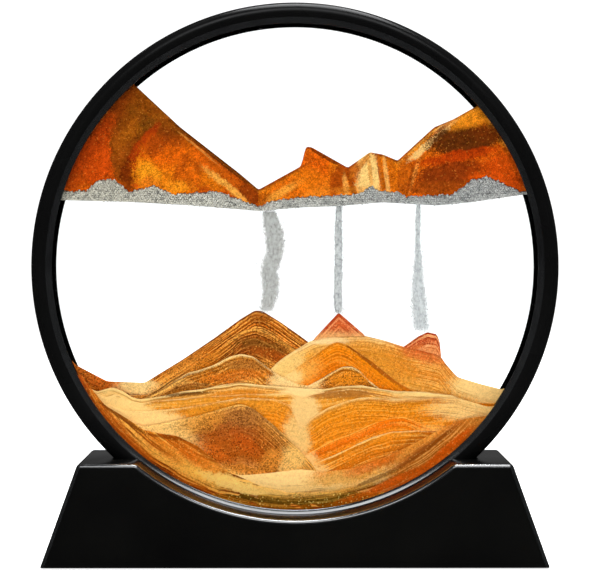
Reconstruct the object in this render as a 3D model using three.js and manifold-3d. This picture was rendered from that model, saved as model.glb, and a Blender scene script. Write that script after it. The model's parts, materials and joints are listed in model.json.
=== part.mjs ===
import * as THREE from 'three';
import { mergeVertices } from 'three/addons/utils/BufferGeometryUtils.js';
import Module from 'manifold-3d';

// Moving sand art frame: a round double-glazed cell of liquid and sand that turns in a stand.
// Millimetres. X runs to the right, Y away from the front, Z up, with z = 0 on the table.
// The disc turns about an axis along Y. Sand outlines are x and z from the middle of the disc.

const wasm = await Module();
wasm.setup();

// Round frame
const discDiameter = 180;
const frameWidth = 7.2;
const rimWall = 3.2;
const rimRound = 3.4;
const lipThickness = 2;
const lipSlope = 1;
const lipRound = 0.5;
const tongueWidth = 1;
const tongueLength = 0.8;

// Cell: the gap between the panes and what closes it
const cellDepth = 5.2;
const glassThickness = 2.4;
const spacerWidth = 2.5;
const plugDiameter = 3;
const plugTip = 2.4;

// Stand
const standDepth = 40;
const standTopWidth = 145;
const standBottomWidth = 170;
const standTopHeight = 35.2;
const seatHeight = 10.2;
const shelfCover = 6;
const shelfRound = 3.5;
const standWall = 2.4;
const standEdge = 0.5;
const footProud = 0.6;
const plateRecess = 0.4;
const plateThickness = 2.8;
const footDiameter = 9;
const footInset = 9;

// Screws of the base plate
const screwEndInset = 10.5;
const screwSideInset = 6.8;
const bossDiameter = 6.8;
const screwDiameter = 2.6;
const screwLength = 10;
const headDiameter = 5.4;
const headHeight = 1.3;
const headSink = 1.5;
const crossWidth = 0.7;
const crossLength = 3.2;
const crossDepth = 0.7;

// Clearances
const gap = 0.3;
const overcut = 1;

// Sand: the ranges of dunes fill the cell's depth, from the rear pane forward, in these shares
const backShare = 0.33;
const middleShare = 0.25;
const terraceShare = 0.21;
const bedThickness = 6.2;
const valleyX = 1.5;
const upperSplitX = -12.5;
const upperValleyX = 35;

// Steps round a full turn
const turnSteps = 72;
const smallSteps = 16;
const roundSteps = 4;
const shelfSteps = 12;
const threadSides = 10;
const threadRings = 16;

// Outlines of the sand surfaces, left to right
const upperSurface = [
  [-54, 61.5], [-39.5, 48], [-19, 32], [-12.5, 26.5], [2, 34.5], [3.6, 41.2], [5.6, 41], [18, 34],
  [25.5, 39.3], [30, 38.5], [35, 36.4], [47.5, 47.8], [54, 50.5], [62, 55],
];
const bubbleTop = [
  [-78.5, 26], [-71.5, 26.2], [-67, 30], [-61.5, 30], [-57, 25.8], [-48, 28], [-42, 25], [-26.5, 26],
  [-12.5, 20.8], [-7.5, 22.8], [2, 24], [21.5, 25], [26, 27.8], [29, 26], [35, 25.8], [38, 24.2],
  [54, 25], [60.5, 30], [66, 31], [77, 26],
];
const bubbleUnderside = [
  [-79.5, 23], [-58.5, 22.5], [-35.5, 21.2], [-12.5, 19.3], [1.5, 20.5], [15, 21], [30, 22.3],
  [49, 21.2], [60.5, 22.3], [79, 25],
];
const backSurface = [
  [-75.5, -34], [-65, -39.5], [-52, -40], [-42, -35], [-29, -25.5], [-14, -15.5], [-11.3, -15],
  [-6, -18], [4.5, -25], [14.5, -24], [24, -23.5], [37.5, -27.5], [50, -30], [52, -33.5],
  [56, -38], [63, -40], [71.5, -42],
];
const middleSurface = [
  [-71.5, -41.5], [-45.5, -39.5], [-35.5, -36], [-20, -30], [-16, -30.3], [-6, -37], [1.5, -32.5],
  [14.5, -26.3], [34.5, -39.5], [54, -43.5], [70, -43],
];
const terraceSurface = [
  [-62.5, -41.8], [-55, -45], [-48.5, -45], [-35.5, -42.5], [-19, -39.5], [1.5, -42.5],
  [4.5, -44.5], [20, -42], [34.5, -45], [54, -46], [70, -45],
];
const moundSurface = [
  [-64.5, -47], [-42, -55.5], [-32.5, -50.5], [-18, -46.5], [-8.5, -50.5], [1.5, -60],
  [15.5, -55.5], [32, -51], [44.5, -55], [60.5, -57],
];
const centreHeapTop = [[6.5, -24.8], [15, -15.7], [24, -23.5]];
const rightHeapTop = [[37.5, -27.5], [42.5, -24], [45.7, -22.5], [48.8, -23.2], [50, -30]];

// Falling threads: x down the thread from the bubbles to what it lands on, width across and depth
// front to back
const threads = {
  stream_left: { path: [-9, -7.4, -8.8, -11.3], top: 6, bottom: 4.6, deep: 2.2, landsOn: backSurface },
  stream_centre: { path: [15, 15.2, 15.1, 15], top: 2.4, bottom: 1.8, deep: 1.6, landsOn: centreHeapTop },
  stream_right: { path: [42.6, 42.8, 43.2, 44.6], top: 1.8, bottom: 3.6, deep: 1.6, landsOn: rightHeapTop },
};

// Sizes that follow from the ones above
const discRadius = discDiameter / 2;
const viewRadius = discRadius - frameWidth;
const cellHalf = cellDepth / 2;
const glassFront = cellHalf + glassThickness;
const halfDepth = glassFront + lipThickness;
const pocketRadius = discRadius - rimWall;
const glassRadius = pocketRadius - gap;
const cellRadius = glassRadius - spacerWidth;
const sandRadius = cellRadius - gap;
const grooveRadius = discRadius + gap;
const grooveHalf = halfDepth + gap;
const discCentreHeight = seatHeight + grooveRadius;
const shelfRadius = discRadius - shelfCover;
const standHeight = standTopHeight - footProud;
const sideSlope = (standBottomWidth - standTopWidth) / 2 / standHeight;
const plateUnder = footProud + plateRecess;
const plateTop = plateUnder + plateThickness;
const reach = discDiameter;

// Three.js geometry to and from a solid that can be cut and joined
function toSolid(geometry) {
  const bare = geometry.clone();
  bare.deleteAttribute('normal');
  bare.deleteAttribute('uv');
  const merged = mergeVertices(bare, 1e-4);
  return new wasm.Manifold(new wasm.Mesh({
    numProp: 3,
    vertProperties: merged.attributes.position.array,
    triVerts: merged.index.array,
  }));
}

function toGeometry(solid) {
  const mesh = solid.getMesh();
  const geometry = new THREE.BufferGeometry();
  geometry.setAttribute('position', new THREE.BufferAttribute(mesh.vertProperties, 3));
  geometry.setIndex(new THREE.BufferAttribute(mesh.triVerts, 1));
  geometry.computeVertexNormals();
  return geometry;
}

function outline(points) {
  return new THREE.Shape(points.map(([x, z]) => new THREE.Vector2(x, z)));
}

function arc(x, z, radius, start, end, steps) {
  return Array.from({ length: steps + 1 }, (_, i) => {
    const angle = start + ((end - start) * i) / steps;
    return [x + radius * Math.cos(angle), z + radius * Math.sin(angle)];
  });
}

// A flat outline in x and z, drawn out along y
function prism(shape, yNear, yFar, bevel = 0) {
  const geometry = new THREE.ExtrudeGeometry(shape, {
    depth: yFar - yNear - 2 * bevel,
    bevelEnabled: bevel > 0,
    bevelThickness: bevel,
    bevelSize: bevel,
    bevelOffset: -bevel,
    bevelSegments: 1,
  });
  geometry.rotateX(Math.PI / 2);
  geometry.translate(0, yFar - bevel, 0);
  return geometry;
}

// A ring or disc about the y axis from a closed profile of [radius, y] points
function turned(profile) {
  const points = profile.map(([r, y]) => new THREE.Vector2(r, y));
  return new THREE.LatheGeometry(points, turnSteps);
}

function discSolid(radius, yNear, yFar) {
  return toSolid(turned([[0, yNear], [radius, yNear], [radius, yFar], [0, yFar]]));
}

function upright(radiusTop, radiusBottom, zLow, zHigh, x, y) {
  const geometry = new THREE.CylinderGeometry(radiusTop, radiusBottom, zHigh - zLow, smallSteps);
  geometry.rotateX(Math.PI / 2);
  geometry.translate(x, y, (zLow + zHigh) / 2);
  return geometry;
}

function boxSolid(xLow, xHigh, yLow, yHigh, zLow, zHigh) {
  const geometry = new THREE.BoxGeometry(xHigh - xLow, yHigh - yLow, zHigh - zLow);
  geometry.translate((xLow + xHigh) / 2, (yLow + yHigh) / 2, (zLow + zHigh) / 2);
  return toSolid(geometry);
}

const finishes = {
  blackMoulding: { color: 0x141414, roughness: 0.35, metalness: 0 },
  clearGlass: { color: 0xdfe9ea, roughness: 0.03, metalness: 0, transparent: true, opacity: 0.15 },
  clearLiquid: { color: 0xf2f6f7, roughness: 0.02, metalness: 0, transparent: true, opacity: 0.08 },
  seal: { color: 0x1b1b1b, roughness: 0.8, metalness: 0 },
  steel: { color: 0xb8bbbe, roughness: 0.35, metalness: 1 },
  bubbles: { color: 0xbfbfbb, roughness: 0.9, metalness: 0 },
  thread: { color: 0xb3b6b6, roughness: 0.9, metalness: 0 },
  darkSand: { color: 0x8a3c10, roughness: 0.95, metalness: 0 },
  orangeSand: { color: 0xe8850f, roughness: 0.95, metalness: 0 },
  amberSand: { color: 0xd9700f, roughness: 0.95, metalness: 0 },
  brownSand: { color: 0x8c5218, roughness: 0.95, metalness: 0 },
  creamSand: { color: 0xedc48a, roughness: 0.95, metalness: 0 },
  redSand: { color: 0xc8553d, roughness: 0.95, metalness: 0 },
  goldSand: { color: 0x9a7a20, roughness: 0.7, metalness: 0.2 },
};

function piece(name, geometry, finish) {
  const mesh = new THREE.Mesh(geometry, new THREE.MeshStandardMaterial(finishes[finish]));
  mesh.name = name;
  return mesh;
}

// Round frame: two halves that meet at y = 0 on a tongue and groove
function bezelProfile(side, joint) {
  const roundCentre = discRadius - rimRound;
  const face = [];
  face.push(...arc(roundCentre, halfDepth - rimRound, rimRound, 0, Math.PI / 2, roundSteps + 1));
  const innerFace = halfDepth - lipSlope;
  face.push([viewRadius + lipRound, innerFace], [viewRadius, innerFace - lipRound]);
  face.push([viewRadius, glassFront], [pocketRadius, glassFront], [pocketRadius, 0]);
  const loop = [[discRadius, 0], ...face, ...joint, [discRadius, 0]];
  return loop.map(([r, y]) => [r, side * y]);
}

function bezelGeometry(side) {
  const middle = (pocketRadius + discRadius) / 2;
  const tongueHalf = tongueWidth / 2;
  const grooveWide = tongueHalf + gap;
  const front = side < 0;
  const half = front ? tongueHalf : grooveWide;
  const end = front ? -tongueLength : tongueLength + gap;
  const joint = [[middle - half, 0], [middle - half, end], [middle + half, end], [middle + half, 0]];
  const profile = bezelProfile(side, joint);
  return turned(front ? profile.reverse() : profile);
}

function spacerGeometry() {
  const ring = discSolid(glassRadius, -cellHalf, cellHalf);
  const bore = discSolid(cellRadius, -cellHalf - overcut, cellHalf + overcut);
  const holeRadius = plugDiameter / 2 + gap;
  const hole = toSolid(upright(holeRadius, holeRadius, cellRadius - overcut, glassRadius + overcut, 0, 0));
  return toGeometry(ring.subtract(bore).subtract(hole));
}

// Sand and liquid: each is a band of the cell between a surface line and a lower line
function sampled(line, rise, x) {
  const first = line[0];
  const last = line[line.length - 1];
  if (x <= first[0]) return first[1] + rise;
  if (x >= last[0]) return last[1] + rise;
  const i = line.findIndex((point) => point[0] > x);
  const [a, b] = [line[i - 1], line[i]];
  return a[1] + ((b[1] - a[1]) * (x - a[0])) / (b[0] - a[0]) + rise;
}

function stretch(line, rise, xLow, xHigh) {
  const inside = line.filter(([x]) => x > xLow && x < xHigh).map(([x, z]) => [x, z + rise]);
  return [[xLow, sampled(line, rise, xLow)], ...inside, [xHigh, sampled(line, rise, xHigh)]];
}

const level = (z) => [[-reach, z], [reach, z]];

function bandSolid({ top, topRise = 0, under, underRise = 0, yNear, yFar, xLow, xHigh, radius }) {
  const upperLine = stretch(top, topRise, xLow ?? -reach, xHigh ?? reach);
  const lowerLine = stretch(under, underRise, xLow ?? -reach, xHigh ?? reach).reverse();
  const block = toSolid(prism(outline([...upperLine, ...lowerLine]), yNear, yFar));
  return block.intersect(discSolid(radius ?? sandRadius, yNear - overcut, yFar + overcut));
}

// Depths of the dune ranges, front pane at -cellHalf and rear pane at +cellHalf
const backNear = cellHalf - backShare * cellDepth;
const middleNear = backNear - middleShare * cellDepth;
const terraceNear = middleNear - terraceShare * cellDepth;
const bedTop = level(bedThickness - sandRadius);

const ranges = {
  back: { top: backSurface, yNear: backNear, yFar: cellHalf },
  middle: { top: middleSurface, yNear: middleNear, yFar: backNear },
  terrace: { top: terraceSurface, yNear: terraceNear, yFar: middleNear },
  mounds: { top: moundSurface, yNear: -cellHalf, yFar: terraceNear },
};

const dunes = {
  back_range: { ...ranges.back, finish: 'amberSand' },
  middle_range: { ...ranges.middle, finish: 'orangeSand' },
  front_terrace: { ...ranges.terrace, finish: 'creamSand' },
  front_mound_left: { ...ranges.mounds, xHigh: valleyX - gap / 2, finish: 'brownSand' },
  front_mound_right: { ...ranges.mounds, xLow: valleyX + gap / 2, finish: 'amberSand' },
};

// The room that a range and the clearance over and before it take from the liquid
function rangeRoom(range) {
  return bandSolid({
    ...range, topRise: gap, under: bedTop, underRise: -gap, yNear: range.yNear - gap, radius: cellRadius,
  });
}

function heapSolid(surface, grow = 0) {
  const xLow = surface[0][0];
  const xHigh = surface[surface.length - 1][0];
  return bandSolid({
    top: surface, topRise: gap + grow, under: backSurface, underRise: gap - grow, yNear: backNear - grow,
    yFar: cellHalf, xLow: xLow - grow, xHigh: xHigh + grow,
  });
}

// A falling thread: an oval section swept down from just under the bubbles to just over the sand
function threadGeometry({ path, top, bottom, deep, landsOn }, grow = 0) {
  const yMiddle = cellHalf - 2 * gap - deep / 2;
  const last = path[path.length - 1];
  const ceiling = stretch(bubbleUnderside, -gap, path[0] - top / 2, path[0] + top / 2);
  const floor = stretch(landsOn, gap * 2, last - bottom / 2, last + bottom / 2);
  const startZ = Math.min(...ceiling.map(([, z]) => z)) + grow * 2;
  const endZ = Math.max(...floor.map(([, z]) => z)) - grow * 2;
  const points = path.map((x, i) => {
    const z = startZ + ((endZ - startZ) * i) / (path.length - 1);
    return new THREE.Vector3(x, yMiddle, z);
  });
  const curve = new THREE.CatmullRomCurve3(points);
  const positions = [];
  for (let i = 0; i <= threadRings; i += 1) {
    const t = i / threadRings;
    const centre = curve.getPoint(t);
    const half = (top + (bottom - top) * t) / 2 + grow;
    for (let j = 0; j < threadSides; j += 1) {
      const angle = (j / threadSides) * Math.PI * 2;
      const y = centre.y + (deep / 2 + grow) * Math.sin(angle);
      positions.push(centre.x + half * Math.cos(angle), y, centre.z);
    }
  }
  const faces = [];
  for (let i = 0; i < threadRings; i += 1) {
    for (let j = 0; j < threadSides; j += 1) {
      const a = i * threadSides + j;
      const b = i * threadSides + ((j + 1) % threadSides);
      faces.push(a, a + threadSides, b, b, a + threadSides, b + threadSides);
    }
  }
  const foot = threadRings * threadSides;
  for (let j = 1; j < threadSides - 1; j += 1) {
    faces.push(0, j, j + 1, foot, foot + j + 1, foot + j);
  }
  const geometry = new THREE.BufferGeometry();
  geometry.setAttribute('position', new THREE.Float32BufferAttribute(positions, 3));
  geometry.setIndex(faces);
  geometry.computeVertexNormals();
  return geometry;
}

function liquidBelowGeometry() {
  const bounds = { yNear: -cellHalf, yFar: cellHalf };
  let solid = bandSolid({ ...bounds, top: bubbleUnderside, topRise: -gap, under: bedTop });
  for (const range of Object.values(ranges)) solid = solid.subtract(rangeRoom(range));
  solid = solid.subtract(heapSolid(centreHeapTop, gap)).subtract(heapSolid(rightHeapTop, gap));
  for (const thread of Object.values(threads)) solid = solid.subtract(toSolid(threadGeometry(thread, gap)));
  return toGeometry(solid);
}

// Stand: a sloped trough with a round shelf for the frame and a deeper groove for its rim
function halfWidthAt(z) {
  return standBottomWidth / 2 - (z - footProud) * sideSlope;
}

function standOutline(inset, zLow) {
  const sideInset = inset * Math.hypot(1, sideSlope);
  const zTop = standTopHeight - inset;
  const radius = shelfRadius + inset;
  const round = Math.max(shelfRound - inset, standEdge);
  const roundZ = zTop - round;
  const roundX = Math.sqrt((radius + round) ** 2 - (discCentreHeight - roundZ) ** 2);
  const toCentre = Math.atan2(discCentreHeight - roundZ, roundX);
  const half = [
    [halfWidthAt(zLow) - sideInset, zLow],
    [halfWidthAt(zTop) - sideInset, zTop],
    ...arc(roundX, roundZ, round, Math.PI / 2, Math.PI - toCentre, roundSteps),
    ...arc(0, discCentreHeight, radius, -toCentre, -Math.PI / 2, shelfSteps).slice(1),
  ];
  const mirrored = half.slice(0, -1).reverse().map(([x, z]) => [-x, z]);
  return outline([...half, ...mirrored]);
}

const corners = [[-1, -1], [1, -1], [1, 1], [-1, 1]];
const screwX = standTopWidth / 2 - screwEndInset;
const screwY = standDepth / 2 - screwSideInset;
const screwPlaces = corners.map(([i, j]) => [i * screwX, j * screwY]);

function standShellGeometry() {
  const outer = toSolid(prism(standOutline(0, footProud), -standDepth / 2, standDepth / 2, standEdge));
  const inner = standDepth / 2 - standWall;
  let cavity = toSolid(prism(standOutline(standWall, footProud - overcut), -inner, inner));
  const channelWall = grooveHalf + standWall;
  const channel = discSolid(grooveRadius + standWall, -channelWall, channelWall);
  cavity = cavity.subtract(channel.translate([0, 0, discCentreHeight]));
  for (const [x, y] of screwPlaces) {
    const boss = upright(bossDiameter / 2, bossDiameter / 2, plateTop, standTopHeight, x, y);
    cavity = cavity.subtract(toSolid(boss));
  }
  const groove = discSolid(grooveRadius, -grooveHalf, grooveHalf).translate([0, 0, discCentreHeight]);
  let shell = outer.subtract(cavity).subtract(groove);
  const pilotRadius = screwDiameter / 2 + gap;
  const pilotTop = plateUnder + headSink + screwLength + overcut;
  for (const [x, y] of screwPlaces) {
    shell = shell.subtract(toSolid(upright(pilotRadius, pilotRadius, plateTop - overcut, pilotTop, x, y)));
  }
  return toGeometry(shell);
}

function basePlateGeometry() {
  const halfLong = halfWidthAt(plateTop) - standWall * Math.hypot(1, sideSlope) - gap;
  const halfDeep = standDepth / 2 - standWall - gap;
  let plate = boxSolid(-halfLong, halfLong, -halfDeep, halfDeep, plateUnder, plateTop);
  for (const [x, y] of screwPlaces) {
    const holeRadius = screwDiameter / 2 + gap;
    const sinkRadius = headDiameter / 2 + gap;
    const sinkTop = plateUnder + headSink;
    plate = plate.subtract(toSolid(upright(holeRadius, holeRadius, 0, plateTop + overcut, x, y)));
    plate = plate.subtract(toSolid(upright(sinkRadius, sinkRadius, 0, sinkTop, x, y)));
  }
  return toGeometry(plate);
}

function screwGeometry() {
  const seat = plateUnder + headSink;
  const headLow = seat - headHeight;
  const tip = seat + screwLength;
  const head = toSolid(upright(headDiameter / 2, headDiameter / 2 - headHeight / 3, headLow, seat, 0, 0));
  const shankRadius = screwDiameter / 2;
  const shank = toSolid(upright(shankRadius, shankRadius, seat - crossDepth / 2, tip, 0, 0));
  const half = crossLength / 2;
  const arm = crossWidth / 2;
  const low = headLow - overcut;
  const high = headLow + crossDepth;
  const cross = boxSolid(-half, half, -arm, arm, low, high).add(boxSolid(-arm, arm, -half, half, low, high));
  return toGeometry(head.add(shank).subtract(cross));
}

const stand = new THREE.Group();
stand.add(piece('stand_shell', standShellGeometry(), 'blackMoulding'));
stand.add(piece('stand_base_plate', basePlateGeometry(), 'blackMoulding'));
screwPlaces.forEach(([x, y], i) => {
  const screw = piece(`base_screw_${i + 1}`, screwGeometry(), 'steel');
  screw.position.set(x, y, 0);
  stand.add(screw);
});
corners.forEach(([i, j], n) => {
  const radius = footDiameter / 2;
  const x = i * (halfWidthAt(plateTop) - footInset);
  const y = j * (standDepth / 2 - footInset);
  stand.add(piece(`foot_pad_${n + 1}`, upright(radius, radius, 0, plateUnder, x, y), 'seal'));
});

const disc = new THREE.Group();
disc.position.set(0, 0, discCentreHeight);
disc.add(piece('front_bezel', bezelGeometry(-1), 'blackMoulding'));
disc.add(piece('rear_bezel', bezelGeometry(1), 'blackMoulding'));
disc.add(piece('front_glass', toGeometry(discSolid(glassRadius, -glassFront, -cellHalf)), 'clearGlass'));
disc.add(piece('rear_glass', toGeometry(discSolid(glassRadius, cellHalf, glassFront)), 'clearGlass'));
disc.add(piece('rim_spacer', spacerGeometry(), 'seal'));
const plug = upright(plugDiameter / 2, plugTip / 2, cellRadius, glassRadius, 0, 0);
disc.add(piece('fill_plug', plug, 'seal'));

const wholeDepth = { yNear: -cellHalf, yFar: cellHalf };
const upperBand = { ...wholeDepth, top: upperSurface, topRise: gap, under: bubbleTop, underRise: gap };
const contents = {
  liquid_above: {
    ...wholeDepth, top: level(reach), under: upperSurface, underRise: 2 * gap, finish: 'clearLiquid',
  },
  bubble_layer: { ...wholeDepth, top: bubbleTop, under: bubbleUnderside, finish: 'bubbles' },
  upper_sand_left: { ...upperBand, xHigh: upperSplitX - gap / 2, finish: 'darkSand' },
  upper_sand_middle: {
    ...upperBand, xLow: upperSplitX + gap / 2, xHigh: upperValleyX - gap / 2, finish: 'orangeSand',
  },
  upper_sand_right: { ...upperBand, xLow: upperValleyX + gap / 2, finish: 'amberSand' },
  gold_bed: { ...wholeDepth, top: bedTop, under: level(-reach), finish: 'goldSand' },
};
for (const [name, dune] of Object.entries(dunes)) {
  contents[name] = { ...dune, under: bedTop, underRise: gap };
}
for (const [name, band] of Object.entries(contents)) {
  disc.add(piece(name, toGeometry(bandSolid(band)), band.finish));
}
disc.add(piece('liquid_below', liquidBelowGeometry(), 'clearLiquid'));
for (const [name, thread] of Object.entries(threads)) {
  disc.add(piece(name, threadGeometry(thread), 'thread'));
}
disc.add(piece('red_heap_centre', toGeometry(heapSolid(centreHeapTop)), 'redSand'));
disc.add(piece('red_heap_right', toGeometry(heapSolid(rightHeapTop)), 'redSand'));
const frame = new THREE.Group();
frame.add(stand, disc);

export default frame;
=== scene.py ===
import json
import math
import random
from functools import partial

import bmesh
import bpy
import numpy as np
from mathutils import Matrix, Vector


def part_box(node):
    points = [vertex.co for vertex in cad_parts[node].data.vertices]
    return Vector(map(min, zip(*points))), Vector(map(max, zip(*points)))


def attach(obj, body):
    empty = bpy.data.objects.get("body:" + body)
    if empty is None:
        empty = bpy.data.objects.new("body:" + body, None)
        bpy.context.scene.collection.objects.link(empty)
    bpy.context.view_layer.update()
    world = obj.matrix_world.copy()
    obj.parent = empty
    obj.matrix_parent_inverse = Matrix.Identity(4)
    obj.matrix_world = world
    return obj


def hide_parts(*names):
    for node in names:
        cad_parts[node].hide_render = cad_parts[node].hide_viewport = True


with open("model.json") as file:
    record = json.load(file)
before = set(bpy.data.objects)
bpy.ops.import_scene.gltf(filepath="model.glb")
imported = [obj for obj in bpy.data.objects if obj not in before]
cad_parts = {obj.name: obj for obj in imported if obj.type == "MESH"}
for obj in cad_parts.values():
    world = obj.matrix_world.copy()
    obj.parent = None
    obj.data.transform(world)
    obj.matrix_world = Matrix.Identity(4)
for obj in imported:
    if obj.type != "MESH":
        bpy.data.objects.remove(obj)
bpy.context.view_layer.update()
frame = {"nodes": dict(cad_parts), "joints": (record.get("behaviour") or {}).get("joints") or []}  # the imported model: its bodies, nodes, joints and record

mm = 0.001
pivot = Vector(frame["joints"][0]["pos_m"])  # middle of the disc, on the line that it turns about
discZ = pivot.z / mm
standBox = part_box("stand_shell")
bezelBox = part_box("front_bezel")
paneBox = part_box("front_glass")


# Camera, at the photograph's view; its place and aim are measured from the middle of the disc
cameraView = {"place": (0, -0.547, 0.0065), "aim": (0.0017, 0, -0.0065), "lens": 95.5, "sensor": 36}

bpy.ops.object.camera_add(location=pivot + Vector(cameraView["place"]))
camera = bpy.context.object
lookAlong = Vector(cameraView["aim"]) - Vector(cameraView["place"])
camera.rotation_euler = lookAlong.to_track_quat("-Z", "Y").to_euler()
camera.data.sensor_width = cameraView["sensor"]
camera.data.lens = cameraView["lens"]
bpy.context.scene.camera = camera
print("camera in place")


# Small helpers
def linear(hexColour):  # sRGB hex to the linear values that the nodes take
    parts = [int(hexColour[i:i + 2], 16) / 255 for i in (1, 3, 5)]
    return [c / 12.92 if c <= 0.04045 else ((c + 0.055) / 1.055) ** 2.4 for c in parts] + [1]


def feed(node, links):  # joins each input to a socket, or to the first output of a node
    for key, source in links.items():
        socket = source.outputs[0] if isinstance(source, bpy.types.Node) else source
        node.id_data.links.new(socket, node.inputs[key])


def addNode(tree, kind, settings=None, links=None):  # one node, with its settings and what feeds it
    node = tree.nodes.new("ShaderNode" + kind)
    for key, value in (settings or {}).items():
        if isinstance(key, str) and hasattr(node, key):
            setattr(node, key, value)
        else:
            node.inputs[key].default_value = value
    feed(node, links or {})
    return node


def emptyMaterial(name):  # a material without nodes, and the function that adds nodes to it
    material = bpy.data.materials.new(name)
    material.use_nodes = True
    material.node_tree.nodes.clear()
    return material, partial(addNode, material.node_tree)


def newMaterial(name, settings):  # a material with one Principled shader
    material, add = emptyMaterial(name)
    shader = add("BsdfPrincipled", settings)
    add("OutputMaterial", links={"Surface": shader})
    return material, add, shader


def setStops(ramp, stops):  # colours of a ramp from (place, hex) pairs
    band = ramp.color_ramp
    while len(band.elements) < len(stops):
        band.elements.new(0.5)
    for element, (place, hexColour) in zip(band.elements, stops):
        element.position = place
        element.color = linear(hexColour)


def pick(kind, test):  # in edit mode, selects vertices, edges or faces by the place of their middle
    bpy.ops.mesh.select_mode(type=kind)
    bpy.ops.mesh.select_all(action="DESELECT")
    work = bmesh.from_edit_mesh(bpy.context.object.data)
    items = {"VERT": work.verts, "EDGE": work.edges, "FACE": work.faces}[kind]
    for item in items:
        corners = [item.co] if kind == "VERT" else [vertex.co for vertex in item.verts]
        middle = sum(corners, Vector()) / len(corners)
        item.select_set(bool(test(middle, item)))
    bmesh.update_edit_mesh(bpy.context.object.data)


def edit():
    bpy.ops.object.mode_set(mode="EDIT")


def done():
    bpy.ops.object.mode_set(mode="OBJECT")


def selectMesh():
    bpy.ops.mesh.select_all(action="SELECT")


def bisect(place, across):
    selectMesh()
    bpy.ops.mesh.bisect(plane_co=place, plane_no=across)


def extrude(far):
    bpy.ops.mesh.extrude_region_move(TRANSFORM_OT_translate={"value": (0, far, 0)})


def faceOut():
    selectMesh()
    bpy.ops.mesh.normals_make_consistent(inside=False)


def mergeFaces():
    bpy.ops.mesh.select_mode(type="FACE")
    selectMesh()
    bpy.ops.mesh.dissolve_faces()


def choose(*pieces):  # selects these alone and makes the first one active
    bpy.ops.object.select_all(action="DESELECT")
    for piece in pieces:
        piece.select_set(True)
    bpy.context.view_layer.objects.active = pieces[0]


def cylinder(vertices, radius, depth, place, turn=0):
    bpy.ops.mesh.primitive_cylinder_add(vertices=vertices, radius=radius, depth=depth, location=place,
                                        rotation=(turn, 0, 0))
    return bpy.context.object


def cutWith(piece, cutter):  # a boolean, applied at once
    choose(piece)
    modifier = piece.modifiers.new("cut", "BOOLEAN")
    modifier.object = cutter
    modifier.operation = "DIFFERENCE"
    modifier.solver = "EXACT"
    bpy.ops.object.modifier_apply(modifier="cut")
    bpy.data.objects.remove(cutter)


def toFrame(piece, centre=Vector()):  # from millimetres about a centre to metres in the frame
    piece.data.transform(Matrix.Translation(centre) @ Matrix.Scale(mm, 4))
    piece.data.update()


def finishPiece(piece, body, nodes, materials, angle=None):
    choose(piece)
    if angle is not None:
        bpy.ops.object.shade_smooth_by_angle(angle=math.radians(angle))
    while len(piece.data.materials) < len(materials):
        piece.data.materials.append(None)
    for i, material in enumerate(materials):
        piece.data.materials[i] = material
    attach(piece, body)
    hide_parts(*nodes)


# Plain finishes: a cloud that moves the tone and polish a little, and a fine relief where there is one
def makeFinish(name, look):
    material, add, shader = newMaterial(name, look["shader"])
    place = add("TexCoord").outputs["Object"]
    cloudMm, detail, harsh = look["cloud"]
    cloud = add("TexNoise", {"Scale": 1 / (cloudMm * mm), "Detail": detail, "Roughness": harsh}, {"Vector": place})
    tone = add("ValToRGB", links={"Fac": cloud})
    setStops(tone, look["tones"])
    low, high = look.get("cloudSpan", (0, 1))
    rough = add("MapRange", {"From Min": low, "From Max": high, "To Min": look["rough"][0],
                             "To Max": look["rough"][1]}, {"Value": cloud})
    feed(shader, {"Base Color": tone, "Roughness": rough})
    if "relief" in look:
        reliefMm, detail, strength, deepMm = look["relief"]
        relief = add("TexNoise", {"Scale": 1 / (reliefMm * mm), "Detail": detail}, {"Vector": place})
        feed(shader, {"Normal": add("Bump", {"Strength": strength, "Distance": deepMm * mm}, {"Height": relief})})
    return material


# Black ABS, injection moulded in a polished tool: deep black, with soft sheens and a faint orange peel
def blackAbs(gloss, coat=0):
    return {"Specular IOR Level": gloss, "IOR": 1.53, "Coat Weight": coat, "Coat Roughness": 0.12}


glossBlack = makeFinish("black_abs_polished", {
    "shader": blackAbs(gloss=0.035), "cloud": (30, 3, 0.5), "tones": [(0.3, "#070707"), (0.7, "#0B0B0A")],
    "cloudSpan": (0.3, 0.7), "rough": (0.16, 0.24), "relief": (1.1, 1, 0.1, 0.02),
})
edgeBlack = makeFinish("black_abs_buffed_edge", {
    "shader": blackAbs(gloss=0.9, coat=0.6), "cloud": (8, 3, 0.5), "tones": [(0.3, "#0C0D0E"), (0.7, "#141516")],
    "cloudSpan": (0.3, 0.7), "rough": (0.14, 0.22), "relief": (0.8, 1, 0.05, 0.02),
})
satinBlack = makeFinish("black_abs_satin", {
    "shader": blackAbs(gloss=0.09), "cloud": (22, 3, 0.5), "tones": [(0.3, "#080808"), (0.7, "#0B0B0B")],
    "cloudSpan": (0.3, 0.7), "rough": (0.2, 0.3), "relief": (0.9, 1, 0.08, 0.02),
})


# Silicone rubber, moulded: dull black with a dusty bloom
def makeRubber(name, dark, bloom):
    return makeFinish(name, {
        "shader": {"Specular IOR Level": 0.3, "IOR": 1.41}, "cloud": (3, 5, 0.7),
        "tones": [(0.35, dark), (0.75, bloom)], "rough": (0.7, 0.9), "relief": (0.3, 2, 0.3, 0.05),
    })


# Zinc-plated steel: a cool grey metal with faint turning marks
steel = makeFinish("zinc_plated_steel", {
    "shader": {"Metallic": 1}, "cloud": (0.8, 4, 0.5), "tones": [(0.3, "#A4A8AC"), (0.7, "#C6C9CC")],
    "rough": (0.25, 0.45),
})


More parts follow.
